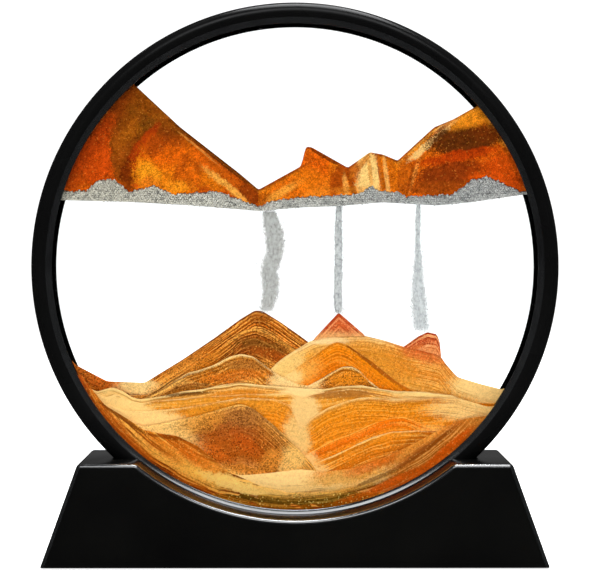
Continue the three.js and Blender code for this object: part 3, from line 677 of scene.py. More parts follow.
folds = {
    "back_dunes": {"node": "back_range", "slot": "amber_sand", "rear": 2.55, "sheets": [
        {"ridge": farPeak, "front": 2.12, "soft": 1.2, "seed": 1, "ramp": [
            (0, "#8E4A12"), (0.8, "#B4621A"), (3, "#C8701E"), (7, "#BE661A"), (13, "#D08A34"), (40, "#E0A862")],
            "lines": (0.9, "#6A2C08", "#F0AC50", 1), "zones": [
                (-70, -37, 14, 3.2, -30, "#C8661E", 0.3, 0.9), (-54, -41.5, 8, 2.6, 0, "#EFC688", 0.5, 0.9),
                (-12, -17, 6, 2, 0, "#8A4A16", 0.5, 0.6), (-42, -37, 11, 2, 36, "#DC9038", 0.6, 0.5)],
            "specks": brownSpecks},
        {"ridge": innerPeak, "front": 1.8, "soft": 1.6, "seed": 2, "ramp": [
            (0, "#E8A850"), (0.5, "#E09A3C"), (1.2, "#B4641A"), (3, "#A05418"), (8, "#9A4E18"), (12, "#C8781C"),
            (30, "#E8A850")],
            "lines": (0.85, "#5A280A", "#E09A44", 0.95),
            "base": [(-43, -39, 8, 3, 30, "#E8AC58", 0.5, 0.8), (-32, -33, 10, 3, 36, "#D0781C", 0.5, 0.8)],
            "zones": [
                (-11, -27.5, 9, 2.4, -10, "#6E4418", 0.4, 0.8), (-8, -30.5, 8, 2, -14, "#A04E14", 0.5, 0.7),
                (4, -31.5, 6, 2.4, -30, "#E2A450", 0.5, 0.6)],
            "specks": brownSpecks},
        {"ridge": creamSlope, "front": 1.5, "soft": 1.4, "seed": 3, "ramp": [
            (0, "#D8AC74"), (0.6, "#EFC890"), (2.2, "#E8B060"), (5, "#DC9430"), (10, "#E09A38"), (30, "#E8B060")],
            "lines": (0.9, "#A86018", "#F0BC6C", 0.55),
            "base": [(44, -34, 15, 6, -24, "#D07C24", 0.5, 0.9), (66, -43, 12, 4.5, -8, "#EFC888", 0.5, 0.95)],
            "zones": [
                (-3, -35, 7, 4.5, 34, "#EABE78", 0.4, 0.9), (68, -42.5, 12, 3.6, -10, "#F2C888", 0.5, 0.9),
                (44, -29.8, 7.5, 2.8, -20, "#D0642E", 0.7, 0.75), (30, -33, 15, 5, -28, "#D08428", 0.7, 0.7),
                (10, -25.5, 8, 1.2, 0, "#F2CE9C", 0.5, 0.8)]},
        {"ridge": centreDune, "front": 1.2, "soft": 1.3, "seed": 4, "ramp": [
            (0, "#F0B458"), (0.4, "#BC6C14"), (1.3, "#E0820F"), (6, "#DE7A10"), (10, "#DC760F"), (25, "#E89838")],
            "lines": (0.95, "#A85008", "#F0A038", 0.5), "zones": [
                (25.5, -32.6, 14, 0.8, -39, "#7A380A", 0.35, 0.75), (1, -37, 8, 4, 30, "#E8A44C", 0.7, 0.8),
                (-2, -38.8, 5, 3, 25, "#ECC484", 0.6, 0.9), (33, -37, 9, 1.6, -38, "#B4601A", 0.6, 0.6)]},
        {"ridge": paleRidge, "front": 0.9, "soft": 1.3, "seed": 5, "ramp": [
            (0, "#ECC48A"), (0.45, "#EDC68E"), (0.9, "#9A5C1C"), (2.6, "#C8741C"), (6, "#D88424"), (20, "#E8B068")],
            "lines": (0.95, "#7A3C0C", "#F0B45C", 0.7), "base": [(-44, -42.5, 9, 2.8, 20, "#EAB05C", 0.5, 0.9)],
            "zones": [
                (-17, -33.6, 7, 2, 0, "#A0642A", 0.4, 0.8), (-21, -37.6, 11, 2, 6, "#CC6C1E", 0.6, 0.7),
                (0, -40.5, 9, 4.5, 0, "#ECC48A", 0.35, 0.95), (19, -38.5, 7, 2.4, 0, "#DC841C", 0.5, 0.8),
                (-2, -36.8, 6, 1.6, -40, "#E8B468", 0.5, 0.8)],
            "specks": brownSpecks}]},
    "middle_dunes": {"node": "middle_range", "slot": "orange_sand", "rear": 0.88, "sheets": [
        {"ridge": smallHump, "front": 0.45, "soft": 1.2, "seed": 6,
            "ramp": [(0, "#E0A050"), (0.4, "#A8662A"), (1.4, "#8A521C"), (2.6, "#B86E24"), (12, "#E8BA7A")],
            "lines": (0.8, "#5A3410", "#E0A04C", 0.5), "specks": brownSpecks},
        {"ridge": longCrest, "front": 0.05, "soft": 0.9, "seed": 7, "ramp": [
            (0, "#ECC48A"), (0.35, "#E6C48C"), (0.8, "#A06A30"), (1.5, "#E4A04C"), (4, "#DE9430"), (14, "#EEC07E")],
            "lines": (1.05, "#A86A20", "#F4C880", 0.7),
            "base": [(-60, -45, 12, 4, 0, "#F2C884", 0.4, 0.8), (50, -45, 16, 3, 0, "#F0CC90", 0.5, 0.8)], "zones": [
                (-37, -43.7, 9, 0.6, 4, "#54300F", 0.4, 0.8), (2, -44, 8, 4, 0, "#EFCB92", 0.4, 0.9),
                (-20, -43.2, 9, 1.3, 4, "#CE7C1C", 0.6, 0.75)],
            "specks": creamSpecks},
        {"ridge": brownLens, "front": -0.36, "soft": 1.0, "seed": 8,
            "ramp": [(0, "#ECC48A"), (0.5, "#C88634"), (1.2, "#DE9430"), (6, "#DC8C24"), (14, "#EEBC76")],
            "lines": (1.05, "#A4601A", "#F2C070", 0.7), "base": [(54, -48, 16, 4, -4, "#F0C888", 0.4, 0.9)],
            "zones": [
                (-62, -49, 16, 5, -8, "#F8CC88", 0.3, 0.95), (3.5, -50, 5, 9, 8, "#E8BC7E", 0.4, 1),
                (17, -43.7, 13, 1.3, 3, "#A0642A", 0.5, 0.85), (-30, -46.5, 18, 1.6, 4, "#DC8E26", 0.5, 0.6),
                (-20, -44.4, 9, 1.2, 3, "#CE7C1C", 0.6, 0.6), (42, -43.6, 12, 1.8, -2, "#F0C080", 0.6, 0.6)],
            "specks": creamSpecks}]},
    "terrace_sand": {"node": "front_terrace", "slot": "cream_sand", "rear": -0.42, "sheets": [
        {"ridge": twinDunes, "front": -0.8, "soft": 1.1, "seed": 9, "ramp": [
            (0, "#ECC48A"), (0.5, "#E0A860"), (1.0, "#B87220"), (2.0, "#E08C1E"), (6, "#E68816"), (11, "#E88C1E"),
            (30, "#F0B868")],
            "lines": (0.9, "#B4620E", "#F0AC4C", 0.55), "base": [(60, -49, 14, 4, 0, "#F0C888", 0.5, 0.9)], "zones": [
                (-55, -53.4, 21, 6.4, -8, "#F9CC88", 0.35, 1), (-20, -48.6, 18, 2.6, 4, "#DC8E28", 0.4, 0.8),
                (0.5, -60, 4.5, 10, 0, "#EABE7C", 0.5, 0.9)]},
        {"ridge": redStreak, "front": -1.15, "soft": 1.2, "seed": 10, "ramp": [
            (0, "#F4AE48"), (0.5, "#EA780E"), (2.2, "#E6700C"), (4, "#E88418"), (9, "#E88E22"), (25, "#F0B464")],
            "lines": (0.9, "#B8600C", "#F2AC48", 0.55), "base": [(56, -58, 12, 4, -6, "#F0BC68", 0.5, 0.8)],
            "zones": [(2, -68, 6, 5, 30, "#F6C884", 0.5, 0.9)]},
        {"ridge": lowFan, "front": -1.48, "soft": 1.2, "seed": 11, "ramp": [
            (0, "#ECC48A"), (0.6, "#E48C20"), (3, "#EA8818"), (7, "#E07E18"), (14, "#E49A38"), (25, "#F2C47A")],
            "lines": (0.95, "#A8560C", "#F6BC5C", 0.75), "base": [(46, -59, 16, 3.4, 24, "#B0621A", 0.6, 0.8)],
            "zones": [(4, -73, 8, 5, 20, "#F6CA86", 0.5, 0.9)]}]},
    "left_mound_sand": {"node": "front_mound_left", "slot": "brown_sand", "rear": -1.52, "sheets": [
        {"ridge": leftMound, "front": -1.95, "soft": 1.6, "seed": 12, "ramp": [
            (0, "#EEBC68"), (0.8, "#D4944A"), (2.5, "#B4742E"), (7, "#AC601E"), (12, "#B05C18"), (17, "#B8661C"),
            (20, "#F0B868"), (28, "#F4C478")],
            "lines": (1.05, "#5E2A08", "#DE9C4C", 0.8),
            "base": [(-47, -56.5, 14, 6, 8, "#FCCB80", 0.6, 1), (4, -68, 9, 5, -50, "#E8A850", 0.6, 0.8)], "zones": [
                (-23.5, -57, 11, 6.4, 6, "#9E5420", 0.6, 0.85), (-22, -63.5, 12, 5.4, -20, "#AE5816", 0.7, 0.8),
                (-18, -51.5, 8, 3, 0, "#9C6430", 0.6, 0.75), (-17, -60.5, 6, 2.6, -36, "#BC5614", 0.9, 0.6),
                (-28, -63.5, 7, 2.2, -26, "#D0681A", 0.6, 0.7), (-47, -58, 13, 5, -14, "#F8C47A", 0.7, 0.95),
                (-1, -66, 4, 6, -40, "#F2BE70", 0.5, 0.8), (-24, -72, 16, 2.6, -14, "#F0B45C", 0.5, 0.9),
                (-32, -53, 7.5, 3.6, 16, "#DA9238", 0.8, 0.7), (-8, -66.5, 3, 4, -40, "#DC8E36", 0.7, 0.8),
                (-17, -69.6, 9, 1.6, -8, "#D07C22", 0.7, 0.7)],
            "specks": brownSpecks}]},
    "foreground_sand": {"node": "front_mound_right", "slot": "amber_sand", "rear": -1.96, "sheets": [
        {"ridge": lowShelf, "front": -2.25, "soft": 2.5, "strata": alongRing, "seed": 13, "ramp": [
            (0, "#C8560C"), (2.4, "#D05E0C"), (2.9, "#704210"), (3.5, "#8E5E1E"), (4.2, "#E0A448"), (6, "#F8CC88"),
            (10, "#F8CA84"), (14, "#F6C070"), (22, "#FACE8C")],
            "lines": (1.1, "#8E4A10", "#F4BC68", 0.5), "run": 0.03,
            "base": [(50, -57.5, 24, 6, 38, "#C0691C", 0.5, 0.95), (66, -48, 10, 6, 50, "#CE8434", 0.5, 0.8)],
            "zones": [
                (48, -67.6, 18, 1.1, 34, "#D8640E", 0.5, 0.9), (0, -72, 28, 3.4, -1, "#FFD694", 0.5, 0.9),
                (20, -68, 14, 1.7, 15, "#E08420", 0.7, 0.85), (66, -48.5, 6, 1, 45, "#8A4A12", 0.5, 0.6),
                (40, -60.4, 24, 2.4, 35, "#E8983A", 0.9, 0.85), (34, -73.4, 11, 1.3, 25, "#D8620E", 0.4, 0.9),
                (52.5, -62, 11, 1.2, 40, "#D45E0C", 0.4, 0.9), (46, -61.5, 13, 1, 36, "#7C3E10", 0.6, 0.7),
                (33, -65.2, 6, 1.5, 30, "#B85A12", 0.7, 0.6), (42, -57.6, 5, 1.6, 36, "#EC9A36", 0.7, 0.5),
                (16, -72.4, 11, 2.2, 9, "#DE9630", 0.7, 0.7), (25, -68.2, 8, 1.8, 22, "#D86A10", 0.7, 0.7),
                (28, -72.4, 9, 0.7, 23, "#7A4A16", 0.4, 0.7)],
            "waver": 0.5},
        {"ridge": ringBand, "front": -2.53, "soft": 1.4, "strata": alongRing, "seed": 14, "ramp": [
            (0, "#B85A14"), (1.2, "#DC7A1C"), (3, "#F8AE4A"), (5.5, "#F09C34"), (8, "#D8781E"), (11, "#D0701A"),
            (15, "#C86C1A"), (20, "#E09A48")],
            "lines": (1.1, "#74300A", "#F6B450", 1), "run": 0.03,
            "base": [(-20, -74, 16, 4, -20, "#F4B860", 0.5, 0.95)], "zones": [
                (-60, -56, 14, 2.4, -50, "#B8540F", 0.6, 0.6), (-31.5, -71, 10, 2.6, -24, "#FCB850", 0.6, 0.85),
                (-46, -62.5, 9, 1.8, -37, "#CC6A18", 0.7, 0.5), (-59, -51.8, 10, 0.7, -35, "#6A300A", 0.35, 0.85),
                (-43, -58.4, 9, 0.6, -8, "#7C3A0A", 0.35, 0.75), (-30, -65, 8, 0.6, -38, "#8A4A14", 0.5, 0.6),
                (-76, -38, 5, 9, 30, "#C05A1A", 0.5, 0.8), (-8, -76.5, 12, 2, -4, "#F2C070", 0.5, 0.85),
                (-34, -65.8, 7, 2, -34, "#D86E18", 0.8, 0.6), (-28, -69, 6, 1.6, -30, "#E08420", 0.7, 0.6),
                (-22.5, -73.8, 10, 2, -17, "#FFCE74", 0.5, 1), (-18, -75.8, 8, 1.5, -14, "#FFD07C", 0.5, 0.85)],
            "waver": 1.0}]},
}


def makeFolds(name, group):
    sheets = []
    rear = group["rear"]
    for fold in group["sheets"]:
        top, seed = smoothLine(fold["ridge"], fold["soft"]), fold["seed"]
        sheet = sandSheet(name, top, ringFloor, fold["front"], rear, duneRelief(seed, ripple=0.03, roll=0.12),
                          meshStep["dune"], fold.get("strata", underRidge))
        sheet.data.materials.append(sandMaterial(f"dyed_quartz_sand_{seed}", fold))
        rear = fold["front"]
        sheets.append(sheet)
    choose(*sheets)
    if len(sheets) > 1:
        bpy.ops.object.join()
    piece = sheets[0]
    piece.name = name
    finishPiece(piece, "sand_disc", [group["node"]], list(piece.data.materials), angle=50)
    print(name, "done")


for name, group in folds.items():
    makeFolds(name, group)


# Upper sand, still held up by the bubbles, flat against both panes
upperTop = [(-60, 66.8), (-54, 61.5), (-39.5, 48), (-19, 32), (-12.5, 26.5), (2, 34.5), (3.6, 41.2), (5.6, 41),
            (18, 34), (25.5, 39.3), (30, 38.5), (35, 36.4), (47.5, 47.8), (54, 50.5), (62, 55), (66, 57.5)]
bubbleTop = [(-78.5, 26), (-71.5, 26.2), (-67, 30), (-61.5, 30), (-57, 25.8), (-48, 28), (-42, 25), (-26.5, 26),
             (-12.5, 20.8), (-7.5, 22.8), (2, 24), (21.5, 25), (26, 27.8), (29, 26), (35, 25.8), (38, 24.2), (54, 25),
             (60.5, 30), (66, 31), (77, 26)]
bubbleUnder = [(-79.5, 23), (-58.5, 22.5), (-35.5, 21.2), (-12.5, 19.3), (1.5, 20.5), (15, 21), (30, 22.3),
               (49, 21.2), (60.5, 22.3), (79, 25)]

upperSand = {
    "upper_sand_left": {"piece": "hung_sand_left", "slot": "dark_sand", "span": (-83, -12.5), "seed": 21, "ramp": [
        (0, "#5E2C08"), (0.5, "#7A3C0A"), (0.9, "#D88A30"), (1.3, "#9A480C"), (2.6, "#BC560E"), (40, "#B44A0C")],
        "zones": [
            (-68, 38, 8, 17, -36, "#C44E0D", 0.35, 0.9), (-75, 28, 5, 5, 0, "#A8480C", 0.5, 0.7),
            (-50, 50.5, 17, 9.5, -42, "#7E440E", 0.2, 0.96), (-58, 39, 5, 13, 4, "#80420E", 0.2, 0.92),
            (-54, 47, 9, 1.6, 30, "#9A5A14", 0.8, 0.6), (-60, 41, 2, 7, 14, "#A05212", 0.8, 0.5),
            (-46, 45, 12, 3.2, -42, "#70400F", 0.3, 0.9), (-57, 46, 2, 8, -30, "#A85C12", 0.6, 0.5),
            (-52.5, 40, 2.4, 11, -34, "#9A380A", 0.25, 0.95), (-57.5, 31, 2.4, 6, -8, "#6E2E08", 0.35, 0.9),
            (-43.5, 32.5, 11.5, 11, 20, "#E07C12", 0.14, 0.98), (-44, 39.5, 8, 5.6, -8, "#D8620D", 0.5, 0.85),
            (-35, 34, 4.5, 7, -30, "#D8650F", 0.4, 0.8), (-50, 31.5, 4, 4.4, 30, "#EE9A1E", 0.5, 0.85),
            (-40, 28, 5, 2, 0, "#EA941E", 0.6, 0.7), (-31.5, 32, 1.6, 6, 36, "#A04A0C", 0.4, 0.75),
            (-39, 34, 1.4, 6, -30, "#B4520D", 0.5, 0.7), (-28, 29.5, 5, 3, -30, "#DC7810", 0.5, 0.8),
            (-36.5, 30, 1.2, 5, 24, "#B4560D", 0.4, 0.6), (-23, 27.8, 10, 1.5, -36, "#ECA848", 0.5, 0.85),
            (-24, 31.6, 12, 1.1, -38, "#B4560E", 0.4, 0.8), (-27, 37.5, 19.5, 0.7, -39, "#5A2A08", 0.3, 0.9),
            (-33, 40.6, 9, 0.4, -40, "#D89040", 0.4, 0.7), (-15, 24.6, 2.2, 5, 42, "#8A3C0B", 0.35, 0.95),
            (-66, 27.5, 8, 2, 6, "#C8600F", 0.5, 0.6), (-49.5, 28.8, 3, 2.4, 0, "#D8701A", 0.6, 0.7),
            (-47, 41.5, 4, 3, 30, "#8E3C0C", 0.5, 0.75), (-42.5, 44.5, 5, 2.6, -40, "#7A360C", 0.5, 0.65),
            # painted shadow: this last patch darkens the sand in a strip along the round frame, where the frame's
            # shade falls
            (-66.5, 46.5, 21, 3.4, 55, "#802E0A", 0.8, 0.55)]},
    "upper_sand_middle": {"piece": "hung_sand_middle", "slot": "orange_sand", "span": (-12.5, 35), "seed": 22,
        "ramp": [
            (0, "#7A360A"), (0.6, "#8E440C"), (1.0, "#D07A1C"), (1.8, "#DC7C14"), (6, "#D8700F"), (30, "#E09030")],
        "zones": [
            (6.5, 35.5, 6, 6, 0, "#D8600D", 0.5, 0.85), (0.4, 28, 9, 3.4, 12, "#D6680F", 0.5, 0.7),
            (-5, 25.4, 9, 1.4, 30, "#ECA03C", 0.5, 0.8), (-11.5, 22.5, 2.4, 3, 0, "#B0560C", 0.4, 0.8),
            (4, 30, 5, 4, 20, "#DC7812", 0.6, 0.7), (11, 37.3, 7.6, 0.6, -29, "#7A360A", 0.3, 0.9),
            (22.6, 36.9, 5, 0.5, 30, "#8E400A", 0.3, 0.85), (30.6, 38, 4.6, 0.5, -14, "#8E400A", 0.3, 0.85),
            (-3, 31.2, 9, 0.5, 30, "#A04C0C", 0.4, 0.7), (15.5, 31, 3.2, 5.4, -24, "#9A430B", 0.3, 0.9),
            (13, 27, 1.1, 4, 0, "#A84C0C", 0.4, 0.8), (17.4, 27.5, 1, 4.4, 8, "#E8A04A", 0.5, 0.8),
            (19.4, 29, 1, 6, 14, "#8E3E0A", 0.35, 0.85), (25, 31, 4.4, 9, 4, "#F0C680", 0.25, 0.97),
            (22, 34.5, 1, 5, -40, "#C8781E", 0.4, 0.8), (25.6, 33, 0.7, 7, 8, "#D08830", 0.4, 0.6),
            (29.6, 31, 1, 8, 10, "#B45C0D", 0.35, 0.9), (31.4, 30, 0.8, 8, 8, "#EEB060", 0.5, 0.8),
            (33.4, 30, 1.2, 8, 8, "#CC6A10", 0.4, 0.85), (20, 26.4, 8, 1.2, 0, "#C87A24", 0.6, 0.5),
            (20.3, 33.5, 1.6, 4, 14, "#B45C1C", 0.5, 0.6)],
        "ragged": 2.6},
    "upper_sand_right": {"piece": "hung_sand_right", "slot": "amber_sand", "span": (35, 83), "seed": 23, "ramp": [
        (0, "#8E440A"), (0.5, "#A8580E"), (0.9, "#E8A044"), (1.8, "#E08A20"), (5, "#D86C10"), (30, "#CC580D")],
        "zones": [
            (37.5, 31, 3.2, 8, -10, "#B85C10", 0.4, 0.9), (41.2, 33, 0.8, 8, -16, "#E8923A", 0.4, 0.8),
            (39.4, 30, 0.6, 7, -14, "#8A400C", 0.4, 0.7), (47.4, 43.8, 11, 1.5, 42, "#EFC07C", 0.25, 0.95),
            (50.5, 47.6, 8, 0.6, 36, "#B45A10", 0.4, 0.7), (47.6, 41.2, 10, 0.7, 42, "#B45A10", 0.4, 0.8),
            (58, 43.5, 13, 5, 6, "#50280C", 0.3, 0.97), (66, 46, 6, 3, 0, "#6E320C", 0.5, 0.7),
            (53, 31.5, 12, 5, 8, "#7E340D", 0.3, 0.95), (50, 27, 13, 2.6, 0, "#96460F", 0.4, 0.9),
            (56, 38, 15, 1.9, 10, "#A83C08", 0.4, 0.9), (64, 33, 6, 3, 30, "#D0560C", 0.5, 0.8),
            (73, 33, 8, 8, -50, "#C24C0B", 0.5, 0.85), (62, 51.5, 9, 3, 22, "#E8901E", 0.5, 0.85),
            (76, 27.5, 4, 4, 0, "#A8420A", 0.5, 0.7), (61, 34.4, 3.4, 2.4, 0, "#80340A", 0.5, 0.65)],
        "ragged": 3.4},
}


def flatRelief(seed):  # pressed against the pane: nearly flat, a little loose at its free edge
    return lambda x, z, under: 0.03 + 0.05 * swell(x, z, 3, seed) + 0.25 * np.maximum(0, 1 - under / 0.8) ** 2


def bubbleLine(x):  # bottom of the hung sand and top of the bubbles, stepped by the bubbles' size
    steps = 0.35 * np.sin(x * 2.1) * np.sin(x * 0.83 + 1) + 0.25 * np.sin(x * 4.7 + 2)
    return smoothLine(bubbleTop, reach=0.7)(x) + steps


def makeUpperSand(node, block):
    look = {"waver": 0.15, "mottle": 0.42, "lift": 0.93, "specks": hungSpecks, **block}
    line = smoothLine(upperTop, reach=0.9)
    top = lambda x: np.minimum(line(x), ringTop(x))
    xLow, xHigh = sheetSpan(top, bubbleLine)
    span = (max(xLow, block["span"][0]), min(xHigh, block["span"][1]))
    sheet = sandSheet(block["piece"], top, bubbleLine, -cell["half"], cell["half"], flatRelief(look["seed"]),
                      meshStep["flat"], span=span)
    material = sandMaterial(f"dyed_quartz_sand_{look['seed']}", look)
    finishPiece(sheet, "sand_disc", [node], [material], angle=50)


for node, block in upperSand.items():
    makeUpperSand(node, block)
print("hung sand done")


# Red heaps under two of the threads
heaps = {
    "red_heap_centre": {"piece": "fresh_heap_centre", "seed": 31,
        "top": [(6, -26), (6.5, -24.8), (15, -15.7), (24, -23.5), (24.6, -25)],
        "zones": [(15, -24.8, 11, 2.2, 0, "#E6AC70", 0.9, 0.8)]},
    "red_heap_right": {"piece": "fresh_heap_right", "seed": 32,
        "top": [(37, -29), (37.5, -27.5), (42.5, -24), (45.7, -22.5), (48.8, -23.2), (50, -26), (50.4, -32)],
        "zones": [(44, -29, 7, 2, 0, "#D87A3C", 0.6, 0.7)]},
}


def makeHeap(node, heap):
    top, ground = smoothLine(heap["top"], reach=0.5), smoothLine(creamSlope, reach=1.4)
    look = {
        "seed": heap["seed"], "zones": heap["zones"], "mottle": 0.16, "waver": 0.1, "lift": 1,
        "ramp": [(0, "#A03C18"), (0.7, "#C8582A"), (4, "#D26A34"), (9, "#DC8A4E")],
        "lines": (1.5, "#8E2C0C", "#F0B07C", 1),
        "specks": {"dark": ("#9A3418", 0.2, 0.5), "bright": ("#FFB070", 0.12, 0.4), "vary": 0.12},
    }
    front, rear = 1.0, 2.5  # it stands in the sand that it has fallen on
    sheet = sandSheet(heap["piece"], top, lambda x: ground(x) - 0.1, front, rear,
                      duneRelief(look["seed"], ripple=0.03, roll=0.3), meshStep["heap"],
                      span=(heap["top"][0][0], heap["top"][-1][0]))
    material = sandMaterial(f"dyed_red_sand_{look['seed']}", look)
    finishPiece(sheet, "sand_disc", [node], [material], angle=50)


for node, heap in heaps.items():
    makeHeap(node, heap)
print("fresh heaps done")


# Gold bed, the coarse glittering sand at the bottom
def makeBed():
    top = lambda x: cell["bedTop"] + 0.3 * swell(x, 0, 9, 5)
    look = {
        "seed": 41, "lines": (0.8, "#442C0A", "#F0BC50", 0.5), "waver": 0.3, "rough": 0.35,
        "ramp": [(0, "#B0600E"), (1.0, "#A8600F"), (1.6, "#704C12"), (2.6, "#82581A"), (3.4, "#AC782C"),
                 (5.5, "#E8B466")],
        "zones": [(22, -78.8, 8, 1.3, 15, "#C8600E", 0.6, 0.8)],
        "specks": {"dark": ("#3A2C08", 0.2, 0.55), "bright": ("#F0D070", 0.05, 0.7), "vary": 0.2},
    }
    bed = sandSheet("gold_bed_sand", top, ringFloor, -cell["half"], cell["half"], flatRelief(look["seed"]),
                    meshStep["flat"], alongRing)
    finishPiece(bed, "sand_disc", ["gold_bed"], [sandMaterial("gold_mica_sand", look)], angle=50)


makeBed()
print("gold bed done")


# Small repeated shapes: one is modelled, then copied to every place
def grainShape(subdivisions):
    bpy.ops.mesh.primitive_ico_sphere_add(subdivisions=subdivisions, radius=1)
    seed = bpy.context.object
    points = np.array([vertex.co for vertex in seed.data.vertices])
    faces = np.array([face.vertices for face in seed.data.polygons])
    bpy.data.objects.remove(seed)
    return points, faces


def scatter(name, shape, spots):  # spots are (x, y, z, radius), millimetres from the disc's centre
    points, faces = shape
    spots = np.array(spots)
    allPoints = (points[None] * spots[:, None, 3:] + spots[:, None, :3]).reshape(-1, 3)
    allFaces = (faces[None] + (np.arange(len(spots)) * len(points))[:, None, None]).reshape(-1, 3)
    mesh = bpy.data.meshes.new(name)
    mesh.from_pydata(allPoints.tolist(), [], allFaces.tolist())
    piece = bpy.data.objects.new(name, mesh)
    bpy.context.scene.collection.objects.link(piece)
    mesh.polygons.foreach_set("use_smooth", [True] * len(mesh.polygons))
    toFrame(piece, pivot)
    return piece


# Air bubbles in the liquid: silver-grey, each with a dark rim where they crowd
def bubbleMaterial():
    material, add, shader = newMaterial("air_bubbles_in_water", {"Specular IOR Level": 0.5, "Roughness": 0.3})
    place = add("TexCoord").outputs["Object"]
    cells = add("TexVoronoi", {"Scale": 1 / (0.7 * mm)}, {"Vector": place})
    shades = add("SeparateColor", links={"Color": cells.outputs["Color"]}).outputs
    tone = add("ValToRGB", links={"Fac": shades[0]})
    setStops(tone, [(0, "#7E7E7C"), (0.12, "#9A9B99"), (0.3, "#B4B4B1"), (0.8, "#C2C2BE"), (1, "#D4D4D0")])
    # painted light: the bubbles' colour is painted brighter towards the left and darker towards the right
    side = add("SeparateXYZ", links={"Vector": place}).outputs["X"]
    light = add("MapRange", {"From Min": -30 * mm, "From Max": 50 * mm, "To Min": 1.12, "To Max": 0.86},
                {"Value": side})
    warm = add("MapRange", {"From Min": -60 * mm, "From Max": 40 * mm, "To Min": 1, "To Max": 0}, {"Value": side})
    # sand dust that clings to them
    warm = add("Mix", {"data_type": "RGBA", "blend_type": "MULTIPLY", 7: (1, 0.94, 0.82, 1)}, {0: warm, 6: tone})
    shaded = add("HueSaturation", links={"Value": light, "Color": warm.outputs[2]})
    feed(shader, {"Base Color": shaded})
    return material


bubbles = {"x": (-83, 83), "z": (17, 33), "pitch": 0.82, "rowShare": 0.87, "jitter": 0.16, "radius": (0.3, 0.46),
           "depth": 2.15, "core": 1.9, "seed": 5}


def makeBubbles():
    random.seed(bubbles["seed"])
    under, pitch, jitter = smoothLine(bubbleUnder, reach=2), bubbles["pitch"], bubbles["jitter"]
    spots = []
    row = 0
    z = bubbles["z"][0]
    while z < bubbles["z"][1]:
        x = bubbles["x"][0] + (row % 2) * pitch / 2
        while x < bubbles["x"][1]:
            for side in (-1, 1):
                sx, sz = x + random.uniform(-jitter, jitter), z + random.uniform(-jitter, jitter)
                radius = random.uniform(*bubbles["radius"])
                if under(sx) + 0.15 < sz < bubbleLine(sx) - 0.05 and math.hypot(sx, sz) < cell["radius"] - 0.3:
                    spots.append((sx, side * (bubbles["depth"] - 0.1 * random.random()), sz, radius))
            x += pitch
        z += pitch * bubbles["rowShare"]
        row += 1
    foam = scatter("bubble_foam", grainShape(subdivisions=2), spots)
    coreTop = lambda x: np.minimum(bubbleLine(x) - 0.05, ringTop(x))
    core = sandSheet("bubble_core", coreTop, under, -bubbles["core"], bubbles["core"], flatRelief(3),
                     meshStep["flat"])
    choose(foam, core)
    bpy.ops.object.join()
    print("bubbles", len(spots))
    finishPiece(foam, "sand_disc", ["bubble_layer"], [bubbleMaterial()])


makeBubbles()


# Falling threads: grains in a loose column round a pale veil of silt
def siltMaterial(name, cover, tones):
    material, add = emptyMaterial(name)
    place = add("TexCoord").outputs["Object"]
    across = add("UVMap", {"uv_map": "strata"})
    across = add("SeparateXYZ", links={"Vector": across}).outputs
    edge = add("Math", {"operation": "ABSOLUTE"}, {0: across["X"]})
    fray = add("TexNoise", {"Scale": 1 / (1.3 * mm), "Detail": 5, "Roughness": 0.75}, {"Vector": place})
    edge = add("Math", {"operation": "MULTIPLY_ADD", 1: 1.1}, {0: fray, 2: edge})
    fade = add("MapRange", {"interpolation_type": "SMOOTHSTEP", "From Min": 1.5, "From Max": 1.05, "To Max": 1},
               {"Value": edge})
    ends = add("MapRange", {"From Min": 0.5, "From Max": 0.46}, {"Value": across["Y"]})
    fade = add("Math", {"operation": "MULTIPLY"}, {0: fade, 1: ends})
    stretched = add("Mapping", {"Scale": (1 / (1.1 * mm), 1 / (3 * mm), 1 / (1.7 * mm))}, {"Vector": place})
    wisps = add("TexNoise", {"Scale": 1, "Detail": 4, "Roughness": 0.6}, {"Vector": stretched})
    thick = add("MapRange", {"From Min": 0.3, "From Max": 0.5, "To Min": 0.55 * cover, "To Max": cover},
                {"Value": wisps})
    mask = add("Math", {"operation": "MULTIPLY"}, {0: fade, 1: thick})
    tone = add("ValToRGB", links={"Fac": wisps})
    setStops(tone, list(zip((0.35, 0.5, 0.65), tones)))
    through = add("BsdfTransparent")
    dust = add("BsdfDiffuse", links={"Color": tone})
    both = add("MixShader", links={0: mask, 1: through, 2: dust})
    add("OutputMaterial", links={"Surface": both})
    return material


def greyGrains():
    material, add, shader = newMaterial("wet_grey_sand", {"Specular IOR Level": 0.3, "Roughness": 0.8})
    place = add("TexCoord").outputs["Object"]
    cells = add("TexVoronoi", {"Scale": 1 / (0.5 * mm)}, {"Vector": place})
    shades = add("SeparateColor", links={"Color": cells.outputs["Color"]}).outputs
    tone = add("ValToRGB", links={"Fac": shades[0]})
    setStops(tone, [(0, "#9A9C9E"), (0.5, "#BABCBC"), (1, "#DADCDA")])
    feed(shader, {"Base Color": tone})
    return material


